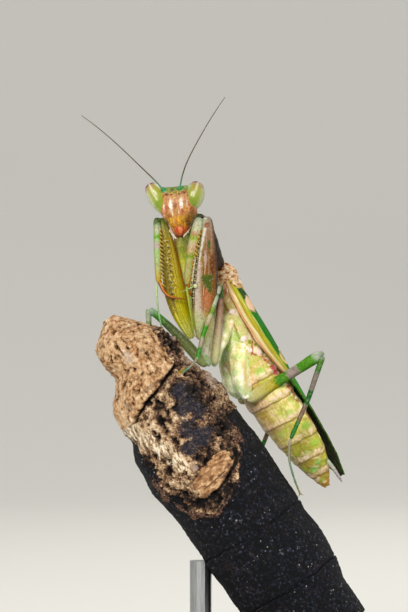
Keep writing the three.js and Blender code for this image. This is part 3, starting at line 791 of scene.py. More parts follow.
def build_head():
    face = face_finish()
    head = joined("head_capsule", [make_head(face)] + make_face_details(face))
    settled(head, "head", "head")
    feeler = shell_finish("feeler", "3f7a5c", "40301c", 0.5, turn=(0.03, 0.25))
    palp = shell_finish("palp", "b8a48c", "c4b8a4", 0.45)
    for side in SIDES:
        make_eye(side)
        make_feeler(side, feeler)
        make_palp(side, palp)
    make_mouth()


# ---- forelegs -----------------------------------------------------------------------------------

FLEXOR_WAY = Vector((-0.93, -0.37, 0))
THIGH_FACE_WAY = Vector((0.37, -0.93, 0))

# Lines close to the ones that the solids follow, from the hip to the foot. The spines start at the
# shin's line plus their first vector, and reach over the thigh by their second.
FORELEG_LINES = {
    "right": {
        "coxa": [(-4.95, 2.2, 54.3), (-4.85, 1.9, 49.6), (-4.0, 1.6, 43.6)],
        "femur": [(-4.0, 0.8, 42.6), (-5.1, 0.75, 45.3), (-5.95, 0.6, 48.5),
                  (-6.6, 0.4, 52.5), (-7.35, 0.15, 55.9)],
        "tibia": [(-7.75, -0.1, 55.9), (-7.75, -0.35, 52.3), (-7.6, -0.5, 48.7)],
        "claw": [(-7.55, -0.5, 48.9), (-6.7, -0.75, 47.4), (-4.6, -0.7, 46.9)],
        "tarsus": [(-7.85, -0.6, 48.6), (-7.75, -0.2, 46.3), (-7.3, 0.3, 43.7)],
        "spines": [(0.28, -0.25, 0), (0.62, -0.16, -0.5)]},
    "left": {
        "coxa": [(-2.7, 0.3, 53.4), (-2.4, 0.6, 49.0), (-2.8, 0.8, 43.6)],
        "femur": [(-3.1, -0.2, 42.5), (-2.8, -0.9, 45.4), (-2.48, -1.9, 49.0),
                  (-2.35, -2.9, 52.5), (-2.3, -3.8, 55.9)],
        "tibia": [(-3.1, -4.1, 55.8), (-4.05, -3.45, 52.0), (-4.5, -2.6, 48.6)],
        "claw": [(-4.45, -2.5, 48.8), (-4.2, -1.9, 47.6), (-3.5, -0.85, 47.0)],
        "tarsus": [(-4.55, -2.75, 48.3), (-4.2, -2.3, 46.0), (-3.7, -1.7, 42.9)],
        "spines": [(0.4, -0.2, 0), (0.36, -0.22, -0.4)]}}
FORELEGS = {side: {part: [Vector(spot) for spot in line] for part, line in lines.items()}
            for side, lines in FORELEG_LINES.items()}

FORE_COXA = [[0, 0.85, 0.7], [0.06, 1.1, 0.8], [0.15, 1.16, 0.84], [0.4, 0.94, 0.76], [0.7, 0.76, 0.66],
             [0.92, 0.56, 0.5], [1, 0.35, 0.3]]
FORE_FEMUR = [[0, 0.26, 0.25], [0.03, 0.5, 0.44], [0.09, 0.72, 0.56], [0.22, 1.12, 0.72],
              [0.38, 1.34, 0.78], [0.55, 1.14, 0.72], [0.75, 0.86, 0.62], [0.92, 0.7, 0.56],
              [0.98, 0.5, 0.44], [1, 0.28, 0.26]]
LEFT_FORE_FEMUR = [[0, 0.26, 0.25], [0.03, 0.5, 0.44], [0.09, 0.8, 0.56], [0.22, 1.25, 0.72],
                   [0.38, 1.5, 0.78], [0.55, 1.4, 0.72], [0.75, 1.05, 0.62], [0.92, 0.78, 0.56],
                   [0.98, 0.55, 0.44], [1, 0.28, 0.26]]
FORE_TIBIA = {
    "right": [[0, 0.26, 0.26], [0.03, 0.44, 0.4], [0.08, 0.5, 0.44], [0.2, 0.46, 0.38], [0.85, 0.4, 0.34],
              [0.95, 0.36, 0.3], [1, 0.2, 0.2]],
    "left": [[0, 0.3, 0.28], [0.03, 0.5, 0.42], [0.08, 0.6, 0.46], [0.25, 0.62, 0.42], [0.6, 0.54, 0.38],
             [0.85, 0.48, 0.36], [0.95, 0.4, 0.32], [1, 0.24, 0.22]]}
FOOT = [[0, 0.13, 0.13], [0.03, 0.18, 0.18], [0.38, 0.14, 0.14], [0.42, 0.2, 0.18], [0.46, 0.13, 0.13],
        [0.56, 0.13, 0.13], [0.6, 0.19, 0.17], [0.64, 0.12, 0.12], [0.72, 0.12, 0.12],
        [0.76, 0.18, 0.16], [0.8, 0.11, 0.11], [0.84, 0.11, 0.11], [0.87, 0.16, 0.14], [0.9, 0.1, 0.1],
        [0.97, 0.12, 0.11], [1, 0.07, 0.07]]
FORE_FOOT = [[share, wide * 0.78, deep * 0.78] for share, wide, deep in FOOT]


def foot_claws(name, line, finish):
    """Two small hooked claws at the end of a foot."""
    route = Route(line)
    tip, ahead = route.point(0.97), route.along(1)
    side = ahead.cross(UP if abs(ahead.z) < 0.9 else FRONT).normalized()
    places = [(tip, tip + ahead * 0.42 + side * 0.28 * turn, 0.07) for turn in (-1, 1)]
    return thorns(name, places, finish, bow=side.cross(ahead) * 0.1)


def right_thigh_finish():
    """Olive yellow with painted shade in the groove beside the shin, and an orange-brown outer edge with
    painted shade along its rim.
    """
    leg = Finish("fore_thigh_right", **LEG_SKIN, light=0.88)
    broad, share = leg.sides(0.14, 2.4)
    leg.paint = leg.ramp(share, "0 a3b070, 0.1 b0b468, 0.22 a8a23c, 0.36 ada03e, 0.6 a8964a, 0.8 a08c4c, "
                                "0.92 8c8f5c, 1 4f7a3c")
    streaks = leg.noise(leg.lie, 1.0, 5.0, 0.6, stretch=(9, 9, 1.3))
    leg.fade("6a5418", streaks, 0.49, 0.62, 0.8)
    leg.fade("d8c888", streaks, 0.47, 0.36, 0.7)
    middle_part = leg.both(leg.between(share, 0.2, 0.3), leg.between(share, 0.98, 0.9))
    place = leg.faced(0.12, 3.0)
    # Painted shade in the groove beside the shin.
    groove_shade = leg.both(leg.between(broad, 0.4, 0.62), middle_part)
    leg.lay("5f5018", groove_shade, 0.8)
    edge = leg.both(leg.between(broad, -0.6, -0.86), leg.between(share, 0.06, 0.25))
    leg.lay(leg.mix(leg.line(share, 0.54, 0.1, 0.5), "94501f", "cf7f5c"), edge)
    # Dark brown along the outer rim: painted shade.
    leg.fade("4a2410", broad, -0.88, -0.97, middle_part)
    teeth = leg.cells(3.6)
    field = leg.ribbon(place, [(-6.9, 0, 53.4), (-6.5, 0, 51.0), (-6.1, 0, 48.9), (-5.9, 0, 48.3)], 0.5, 0.8)
    leg.lay(leg.mix(leg.between(teeth, 0.46, 0.34), "7a6820", "dccf94"), field, 0.7)
    leg.fleck("6f5a1e", "e0d8a0", 0.45, 3.4)
    return leg.grained(0.45, 7.0)


def left_thigh_finish():
    """A white stripe, pinkish and red-brown beside it, a green heart-shaped spot and a mint root."""
    leg = Finish("fore_thigh_left", **LEG_SKIN, rich=1.2, light=0.68)
    broad, share = leg.sides(0.14, 2.4)
    inner = leg.ramp(share, "0 c0cc90, 0.2 b9bf70, 0.35 a39c3c, 0.7 9f9048, 0.92 a8a880, 1 b8b8a4")
    outer = leg.ramp(share, "0 c8cc98, 0.16 c0b47c, 0.26 a87c54, 0.4 8f6234, 0.56 845a30, 0.72 8a6644, "
                            "0.88 a08470, 1 9c9a88")
    leg.paint = leg.mix(leg.between(broad, 0.62, 0.42), inner, outer)
    streaks = leg.noise(leg.lie, 1.0, 5.0, 0.6, stretch=(9, 9, 1.3))
    leg.fade("8a5a3c", streaks, 0.5, 0.62, 0.6)
    leg.fade("e9dcc4", streaks, 0.45, 0.36, 0.6)
    place = leg.faced(0.16, 2.6)
    leg.dab_front(place, [
        (-1.75, 50.7, 0.32, 1.7, "6a3414", 0.95), (-2.5, 51.4, 0.24, 1.3, "c4b0a4", 0.85),
        (-2.3, 47.0, 0.6, 1.6, "c88468", 0.75), (-2.1, 52.9, 0.22, 0.7, "2f5a1c", 0.9),
        (-2.35, 55.0, 0.4, 0.4, "8f4a34", 0.7), (-2.72, 51.8, 0.16, 0.3, "5a2c14", 0.9),
        (-2.6, 49.2, 0.52, 0.62, "465a00", 1.0), (-1.98, 49.25, 0.5, 0.62, "465a00", 1.0),
        (-2.25, 48.75, 0.68, 0.85, "465a00", 1.0), (-2.02, 48.15, 0.36, 0.75, "465a00", 1.0),
        (-2.4, 44.3, 0.5, 0.9, "a8d89c", 0.6), (-3.0, 50.7, 0.2, 0.5, "cf9a8c", 0.8)])
    stripe = leg.ribbon(place, [(-2.54, 0, 54.6), (-2.89, 0, 52.7), (-3.23, 0, 51.0), (-3.5, 0, 49.2),
                                (-3.5, 0, 47.6)], 0.24, 1.0)
    leg.lay("f0ece6", stripe, 0.8)
    fold = leg.ribbon(place, [(-3.3, 0, 50.6), (-3.45, 0, 48.6), (-3.3, 0, 46.0), (-2.9, 0, 43.5)], 0.62, 0.8)
    leg.lay(leg.mix(leg.between(share, 0.3, 0.12), "d0c0b4", "c4cc9c"), fold, 0.85)
    # Dark brown down the outer edge: painted shadow.
    leg.fade("30160a", broad, -0.55, -0.85, leg.between(share, 0.2, 0.4))
    # Painted shade in the groove beside the shin.
    groove_shade = leg.both(leg.between(broad, 0.8, 0.93), leg.both(leg.between(share, 0.2, 0.3),
                                                             leg.between(share, 0.96, 0.9)))
    leg.lay("3f3a14", groove_shade, 0.9)
    leg.fleck("5a301c", "e4d4c4", 0.5, 2.6)
    return leg.grained(0.45, 7.0)


def shin_finish(side):
    """Pale bands of green, grey and lilac down the shin, with an orange line on its inner side."""
    shin = Finish("fore_shin_" + side, **LEG_SKIN, light=0.78)
    broad, share = shin.sides(0.12, 2.4)
    if side == "right":
        stops = ("0 26481e, 0.08 2f5a28, 0.12 a8b896, 0.2 c0c8b0, 0.26 9fbf80, 0.3 5fa034, 0.34 a8c48c, "
                 "0.42 c4aab0, 0.5 a8c890, 0.7 b0bf8c, 0.85 b9ac70, 1 b98f44")
    else:
        stops = ("0 8f9c84, 0.08 b8bca8, 0.18 c0c4a8, 0.24 b8907a, 0.29 8fa04f, 0.33 b0b480, 0.42 cdb09c, "
                 "0.5 c0a884, 0.57 6a8a30, 0.62 aaa870, 0.8 a8a474, 1 b0a068")
    shin.paint = shin.ramp(share, stops)
    inner = shin.both(shin.line(broad, -0.62, 0.28, 0.6), shin.between(share, 0.1, 0.2))
    shin.lay("c8823a", inner, 0.9)
    outer = shin.between(broad, 0.6, 0.95)
    shin.lay("5f7a54", outer, 0.4)
    long_marks = shin.noise(shin.lie, 1.0, 4.0, 0.6, stretch=(2.2, 2.2, 9))
    shin.fade("94664a", long_marks, 0.52, 0.62, 0.5)
    shin.fade("7f9448", long_marks, 0.46, 0.36, 0.5)
    shin.fleck("6a6a3c", "dcdcc8", 0.45, 3.6)
    return shin.grained(0.35, 8.0)


def fore_coxa_finish():
    """Yellow-green with brown mottling."""
    coxa = Finish("fore_hip", **LEG_SKIN, rich=1.05, light=1.25)
    broad, share = coxa.sides(0.2, 1.8)
    coxa.paint = coxa.ramp(share, "0 8f9c5c, 0.12 a3a858, 0.25 a8a634, 0.45 aaa85c, 0.65 9c9f68, 1 a8b070")
    edge = coxa.between(coxa.size(broad), 0.6, 0.9)
    coxa.lay("8f5a2c", edge, 0.8)
    blotch = coxa.noise(coxa.place, 1.3, 3.0)
    coxa.fade("7f8f2c", blotch, 0.5, 0.6, 0.7)
    coxa.fleck("5f5a1e", "d8d498", 0.55, 3.0)
    return coxa.grained(0.4, 7.0)


def fore_claw_finish():
    """Orange-yellow, with a dark red-brown inner edge and tip."""
    claw = Finish("fore_claw", roughness=0.32, coat=0.15, specular=0.5)
    claw.paint = claw.mix(claw.between(claw.share, 0.5, 0.95), "a8692c", "7a3a18")
    inner = claw.between(claw.thin, 0.1, 0.75)
    claw.lay("4f1c0e", inner)
    grain = claw.noise(claw.place, 5.0, 3.0)
    claw.fade("7a3a18", grain, 0.5, 0.65, 0.5)
    return claw.grained(0.2)


def thigh_face(thigh, stations, share, across):
    """A point on the thigh's front. across runs from -1 at its outer edge to 1 at the shin's side."""
    half, deep = at_station(stations, share)
    return (thigh.point(share) + FLEXOR_WAY * half * across
            + THIGH_FACE_WAY * deep * math.sqrt(1 - across * across))


SHIN_SPINES = 15
THIGH_SPINES = 11
SMALL_TEETH = 30


def make_shin_spines(leg, finish):
    shin = Route(leg["tibia"])
    start, reach = leg["spines"]
    places = []
    for k in range(SHIN_SPINES):
        share = 0.17 + 0.83 * k / (SHIN_SPINES - 1)
        root = shin.point(share) + start
        size = min(1, 0.5 + 0.14 * k) * (1 + 0.1 * math.sin(2.3 * k))
        places.append((root, root + reach * size, 0.085))
    return thorns("shin_spines", places, finish, bow=FRONT * 0.07)


def make_thigh_spines(leg, stations, finish, teeth, edge=None):
    """A row of short spines with black tips, small teeth round them, and spines on the outer edge.
    The rows keep to one place across the thigh when edge gives it.
    """
    thigh = Route(leg["femur"])
    row = []
    for k in range(THIGH_SPINES):
        share = 0.34 + 0.47 * k / (THIGH_SPINES - 1)
        root = thigh_face(thigh, stations, share, edge or 0.05 + 0.85 * (0.8 - share)) - THIGH_FACE_WAY * 0.08
        row.append((root, root + FRONT * 0.4 + FLEXOR_WAY * 0.16 - UP * 0.14, 0.14 if k % 2 else 0.11))
    small = []
    for k in range(SMALL_TEETH):
        share = 0.3 + 0.45 * k / (SMALL_TEETH - 1)
        across = edge or 0.35 + 0.5 * (0.7 - share) + 0.13 * math.sin(7.7 * k)
        root = thigh_face(thigh, stations, share, across)
        small.append((root, root + FRONT * 0.16 + FLEXOR_WAY * 0.05, 0.05))
    for share in (0.5, 0.62, 0.7):
        root = thigh_face(thigh, stations, share, 0.96)
        small.append((root, root + FLEXOR_WAY * 0.45 - UP * 0.1, 0.06))
    return [thorns("thigh_spines", row, finish), thorns("thigh_teeth", small, teeth)]


def make_foreleg(side, finishes):
    leg = FORELEGS[side]
    thigh_paint = right_thigh_finish() if side == "right" else left_thigh_finish()
    thigh_stations = FORE_FEMUR if side == "right" else LEFT_FORE_FEMUR
    parts = [
        limb("thigh", leg["femur"], FLEXOR_WAY, thigh_stations, thigh_paint, sides=20, rings=26, levels=2),
        limb("shin", leg["tibia"], FLEXOR_WAY, FORE_TIBIA[side], shin_finish(side), sides=14, rings=20),
        limb("hip", leg["coxa"], FLEXOR_WAY, FORE_COXA, finishes["coxa"], sides=16, rings=18),
        limb("foot", leg["tarsus"], FRONT, FORE_FOOT, finishes["foot" if side == "right" else "foot_left"],
             sides=10, rings=34),
        limb("claw", leg["claw"], FRONT, [[0, 0.27, 0.26], [0.3, 0.23, 0.2], [0.7, 0.16, 0.14],
                                          [1, 0.04, 0.04]],
             finishes["claw"], sides=10, rings=14),
        foot_claws("foot_claws", leg["tarsus"], finishes["hook"]),
        make_shin_spines(leg, finishes["spine"]),
        *make_thigh_spines(leg, thigh_stations, finishes["tooth"], finishes["teeth"],
                           None if side == "right" else 0.93)]
    if side == "left":
        knob = Vector((-3.6, -2.85, 48.4))
        parts.append(bead("claw_knob", knob, 0.24, 0.8, FRONT, finishes["knob"]))
        parts.append(thorns("long_spine", [(knob, knob + Vector((-1.7, 0.6, -0.75)), 0.09)],
                            finishes["foot"]))
    settled(joined("foreleg_" + side, parts), "foreleg",
            *[f"fore_{part}_{side}" for part in ("coxa", "femur", "tibia", "tarsus")])


def build_forelegs():
    finishes = {
        "coxa": fore_coxa_finish(),
        "claw": fore_claw_finish(),
        "spine": shell_finish("shin_spine", "a89c60", "6f5a30", 0.45, 0.0),
        "tooth": shell_finish("thigh_spine", "b8b08c", "14100a", 0.35, 0.1, (0.45, 0.6)),
        "teeth": shell_finish("thigh_tooth", "c4c48c", "e8e4c0", 0.35, 0.1),
        "foot": shell_finish("fore_foot", "9cb084", "7f9c78", 0.45),
        "foot_left": shell_finish("fore_foot_left", "8f9a50", "7a8038", 0.45),
        "hook": shell_finish("foot_claw", "8f7a4a", "3a2410", 0.35),
        "knob": shell_finish("claw_knob", "a8a888", "b4b894", 0.45)}
    for side in ("right", "left"):
        make_foreleg(side, finishes)


# ---- walking legs -------------------------------------------------------------------------------

MID_COXA = [[0, 0.75, 0.75], [0.12, 1.08, 1.0], [0.35, 1.08, 0.98], [0.7, 0.88, 0.78],
            [0.9, 0.64, 0.58], [1, 0.4, 0.38]]
HIND_COXA = [[0, 0.9, 0.8], [0.12, 1.25, 1.15], [0.3, 1.4, 1.28], [0.6, 1.32, 1.22], [0.82, 1.06, 0.95],
             [0.94, 0.76, 0.68], [1, 0.45, 0.42]]
MID_FEMUR = [[0, 0.3, 0.28], [0.04, 0.48, 0.4], [0.12, 0.62, 0.5], [0.35, 0.64, 0.48], [0.65, 0.48, 0.4],
             [0.88, 0.4, 0.35], [0.95, 0.46, 0.4], [0.99, 0.38, 0.34], [1, 0.26, 0.24]]
HIND_FEMUR = [[0, 0.34, 0.3], [0.04, 0.6, 0.46], [0.14, 0.74, 0.54], [0.5, 0.6, 0.46],
              [0.66, 0.58, 0.44], [0.78, 0.62, 0.46], [0.92, 0.66, 0.48], [0.98, 0.5, 0.42], [1, 0.3, 0.28]]
WALKING_TIBIA = [[0, 0.26, 0.26], [0.03, 0.4, 0.38], [0.1, 0.36, 0.33], [0.25, 0.36, 0.32],
                 [0.5, 0.32, 0.29], [0.85, 0.27, 0.25], [0.95, 0.29, 0.27], [1, 0.16, 0.16]]
WALKING_FOOT = [[share, wide * 0.9, deep * 0.9] for share, wide, deep in FOOT]

# Bands along a leg, as runs of colours over its length.
BANDS = {
    "hind_femur": "0 eeeac4, 0.1 e4dcac, 0.26 d4cc8a, 0.37 c4b868, 0.4 4a8f20, 0.52 5a8f34, 0.55 a89a94, "
                  "0.67 a39a92, 0.7 4f9422, 0.85 56962a, 0.89 8fac84, 0.94 c4cdbc, 1 8f9a84",
    "hind_tibia": "0 8f9c84, 0.05 5a8444, 0.16 42702f, 0.21 7c746a, 0.39 80776e, 0.42 0f5a14, 0.56 186020, "
                  "0.6 7f6a5c, 0.76 84705c, 0.8 33702c, 1 447a42",
    "mid_femur": "0 dcdcb0, 0.15 ccc89c, 0.35 bcac90, 0.58 a88c78, 0.72 8c6c5a, 0.76 2c4a14, 0.87 3a6420, "
                 "0.91 a8a48c, 1 bfc4ac",
    "mid_femur_right": "0 b4bc8c, 0.3 949c6c, 0.6 66744a, 0.72 566e40, 0.8 4f8a3c, 0.88 5f9a50, 0.94 9cb49c, "
                       "1 b4c4b0",
    "mid_tibia": "0 9cae8c, 0.14 b9bfac, 0.2 748c3c, 0.28 74923f, 0.33 c4bc9c, 0.45 b5a688, 0.5 3f8c1c, "
                 "0.64 479428, 0.68 a89c8c, 0.79 a39884, 0.83 46843a, 0.95 4f8f48, 1 a8b898",
    "coxa": "0 c4bc80, 0.25 cdc48c, 0.6 d4d4ac, 0.8 bfcca8, 1 a8bf9c",
    "tarsus": "0 a39c84, 0.3 9c9684, 0.5 7a9c88, 0.75 6f8c6a, 1 a58f4a",
}


def banded_finish(name, bands):
    leg = Finish(name, roughness=0.42, specular=0.2, subsurface=0.06, light=0.58, rich=1.4)
    jitter = leg.math("MULTIPLY", leg.math("SUBTRACT", leg.noise(leg.place, 2.2, 2.0), 0.5), 0.08)
    leg.paint = leg.ramp(leg.math("ADD", leg.share, jitter), bands)
    # Painted light: the side towards the broad way is lightened as a painted highlight, and the other side
    # darkened as painted shade. The darker tone also makes dark flecks.
    top = leg.between(leg.broad, 0.3, 0.95)
    lit_side_tone = leg.shifted(leg.paint, Value=1.3, Saturation=0.75)
    leg.lay(lit_side_tone, top, 0.6)
    below = leg.between(leg.broad, -0.35, -0.9)
    shade_and_fleck_tone = leg.shifted(leg.paint, Value=0.5, Saturation=1.1)
    leg.lay(shade_and_fleck_tone, below, 0.8)
    grain = leg.noise(leg.place, 3.6, 5.0, 0.65)
    leg.fade(shade_and_fleck_tone, grain, 0.49, 0.68, 0.7)
    leg.fade("dcd8c4", grain, 0.49, 0.32, 0.3)
    return leg.grained(0.4, 7.0)


def walking_hip_finish():
    """Pale green and cream, with tan stripes down its length."""
    hip = Finish("walking_hip", roughness=0.42, specular=0.3, subsurface=0.08, rich=1.15, light=1.1)
    broad, thin, share = hip.split(hip.wobbled(hip.lie, 0.3, 1.4))
    hip.paint = hip.ramp(share, BANDS["coxa"])
    turn = hip.math("MULTIPLY", hip.math("ARCTAN2", thin, broad), 2.5)
    stripe = hip.size(hip.math("SINE", turn))
    stripe = hip.both(hip.between(stripe, 0.5, 0.0), hip.line(share, 0.5, 0.48, 0.3))
    hip.lay("bc9458", stripe, 0.5)
    blotch = hip.noise(hip.place, 1.1, 4.0)
    hip.fade("a3bf80", blotch, 0.46, 0.68, 0.8)
    hip.fade("f4efdc", blotch, 0.5, 0.32, 0.9)
    tan = hip.ribbon(hip.faced(0.6, 1.5), [(1.8, 0, 39.8), (1.95, 0, 38.4), (2.1, 0, 36.9)], 0.6, 1.0)
    hip.lay("b09468", tan, 0.6)
    hip.fleck("a3804f", "f6f2e0", 0.5, 2.6)
    return hip.grained(0.4, 6.0)


def make_walking_leg(pair, side, finishes):
    names = [f"{pair}_{part}_{side}" for part in ("coxa", "femur", "tibia", "tarsus")]
    coxa_line, femur_line, tibia_line, tarsus_line = chain(names, middle("thorax"))
    coxa_line.insert(0, coxa_line[0].lerp(middle("thorax"), 0.25))
    femur_way = (femur_line[-1] - femur_line[0]).cross(UP.cross(femur_line[-1] - femur_line[0])).normalized()
    if abs((femur_line[-1] - femur_line[0]).normalized().z) > 0.9:
        femur_way = LEFT
    thigh_stations, hip_stations = (HIND_FEMUR, HIND_COXA) if pair == "hind" else (MID_FEMUR, MID_COXA)
    thigh_finish = finishes.get(names[1], finishes[pair + "_femur"])
    parts = [
        limb("thigh", femur_line, femur_way, thigh_stations, thigh_finish, 16, 26),
        limb("shin", tibia_line, FRONT, WALKING_TIBIA, finishes[pair + "_tibia"], 12, 24),
        limb("hip", coxa_line, LEFT, hip_stations, finishes["coxa"], 18, 18, levels=2),
        limb("foot", tarsus_line, FRONT, WALKING_FOOT, finishes["tarsus"], 10, 34),
        foot_claws("foot_claws", tarsus_line, finishes["claw"]),
    ]
    raised(parts[2], hip_relief)
    shin = Route(tibia_line)
    spurs = [(shin.point(0.95), shin.point(1.0) + FRONT * 0.32 * turn, 0.06) for turn in (-1, 1)]
    parts.append(thorns("shin_spurs", spurs, finishes["claw"]))
    leg = joined(f"{pair}_leg_{side}", parts)
    settled(leg, "walking_leg", *names)


def hip_relief(point):
    return 0.07 * ridged(point, 0.9) + 0.03 * noise.noise(point * 3)


def chain(names, start):
    """The centre lines of a leg's CAD nodes, joined end to end where one meets the next."""
    lines = []
    for name in names:
        line = centre_line(name, start)
        if lines:
            joint = (Route(lines[-1]).point(1.05) + Route(line).point(-0.05)) / 2
            lines[-1].append(joint)
            line.insert(0, joint)
        lines.append(line)
        start = line[-1]
    return lines


def build_walking_legs():
    finishes = {name: banded_finish(name, bands) for name, bands in BANDS.items() if name != "coxa"}
    finishes["coxa"] = walking_hip_finish()
    finishes["claw"] = shell_finish("leg_claw", "8f7a4a", "3a2410", 0.35)
    for pair in ("mid", "hind"):
        for side in SIDES:
            make_walking_leg(pair, side, finishes)


# ---- trunk --------------------------------------------------------------------------------------

NECK = [[0, 0.7, 0.62], [0.3, 0.82, 0.72], [0.7, 0.9, 0.8], [1, 0.95, 0.85]]
PROTHORAX = [[0, 1.0, 0.8], [0.06, 1.08, 1.0], [0.15, 1.12, 1.1], [0.35, 1.18, 1.18], [0.58, 1.38, 1.2],
             [0.75, 1.42, 1.15], [0.92, 1.26, 0.95], [1, 0.9, 0.65]]
PROTHORAX_LINE = [Vector((-1.3, 4.6, 50.4)), Vector((-3.5, 1.1, 56.0))]
PROTHORAX_LEFT = Vector((0.799, -0.602, 0))
THORAX = [[0, 1.2, 1.0], [0.06, 1.8, 1.5], [0.25, 2.3, 1.85], [0.6, 2.75, 2.2], [1, 2.85, 2.4]]

# A fourth value lifts the abdomen's side edges towards the back.
ABDOMEN = [[0, 2.8, 2.3, 0], [0.12, 3.45, 2.55, 0], [0.3, 3.85, 2.55, 0.25], [0.5, 3.8, 2.25, 0.75],
           [0.7, 3.3, 1.76, 0.9], [0.82, 2.6, 1.36, 0.8], [0.93, 1.38, 0.83, 0.4], [1, 0.3, 0.3, 0]]

# Where the abdomen's segments end, as places along the body.
SEGMENT_ENDS = [4.2, 6.9, 9.8, 12.4, 14.9, 17.2, 19.4, 21.2]
ABDOMEN_FRONT = 3.4
ABDOMEN_TIP = 21.0

# Small hills on the flank, as places along, above and beside the body.
FLANK_HILLS = [
    ((-1.14, -1.37, 2.18), 0.42, 0.42), ((2.06, -1.84, 2.5), 0.44, 0.42),
    ((3.5, -1.9, 2.35), 0.42, 0.36), ((4.1, -1.07, 2.71), 0.5, 0.4),
    ((2.3, -2.4, 1.2), 0.9, 0.3), ((0.6, -1.0, 2.5), 0.6, 0.2),
    ((-4.9, 1.1, 1.2), 0.6, 0.34), ((-4.7, 0.3, 1.7), 0.5, 0.3),
    ((-5.6, 1.0, 0.8), 0.4, 0.24), ((-3.4, -0.6, 2.0), 0.6, 0.2)]


def segment_share(tailward):
    """How far a place is along its segment, from 0 at the front to 1 at the hind margin."""
    for front, end in zip(SEGMENT_ENDS, SEGMENT_ENDS[1:]):
        if front <= tailward < end:
            return (tailward - front) / (end - front)
    return 0.0


def segment_swell(share, angle):
    """Each segment swells towards its hind margin and steps in behind it. Its side has a lobed edge."""
    tailward = ABDOMEN_FRONT + share * (ABDOMEN_TIP - ABDOMEN_FRONT)
    place = segment_share(tailward)
    step = -0.04 + 0.05 * place + 0.03 * math.exp(-((place - 0.86) / 0.12) ** 2)
    step -= 0.05 * max(0, (place - 0.95) / 0.05)
    edge = math.exp(-((abs(math.cos(angle)) - 1) / 0.12) ** 2)
    return step + edge * 0.05 * math.sin(math.pi * place) ** 2


def mirrored_place(point):
    tailward, dorsal, left = body_place(point)
    return Vector((tailward, dorsal, abs(left)))


def belly_relief(point):
    place = mirrored_place(point)
    return (0.05 * ridged(place, 1.1) + 0.045 * noise.noise(place * 2.7)
            + 0.03 * noise.noise(Vector((place.x * 6, place.y * 1.5, place.z * 1.5))))


def flank_relief(point):
    place = mirrored_place(point)
    folds = ridged(place + Vector((0, 0, 0.3 * noise.noise(place))), 0.8)
    shoulder = min(1, max(0, (-2.8 - place.x) / 0.8))
    return (lumps(place, FLANK_HILLS) + 0.1 * folds + (0.06 + 0.14 * shoulder) * ridged(place, 1.8)
            + 0.03 * noise.noise(place * 4))


def shield_relief(point):
    return 0.08 * ridged(point, 0.8) + 0.05 * noise.noise(point * 2.5)


def note_body_places(piece):
    note(piece, "lie", [body_place(vertex.co) for vertex in piece.data.vertices])


def either_side(finish, wobble, scale):
    """Uneven places on the body, alike on its two sides, and their three numbers."""
    tailward, dorsal, left = finish.split(finish.wobbled(finish.lie, wobble, scale))
    beside = finish.size(left)
    return finish.put("CombineXYZ", inputs={0: tailward, 1: dorsal, 2: beside}), tailward, dorsal, beside


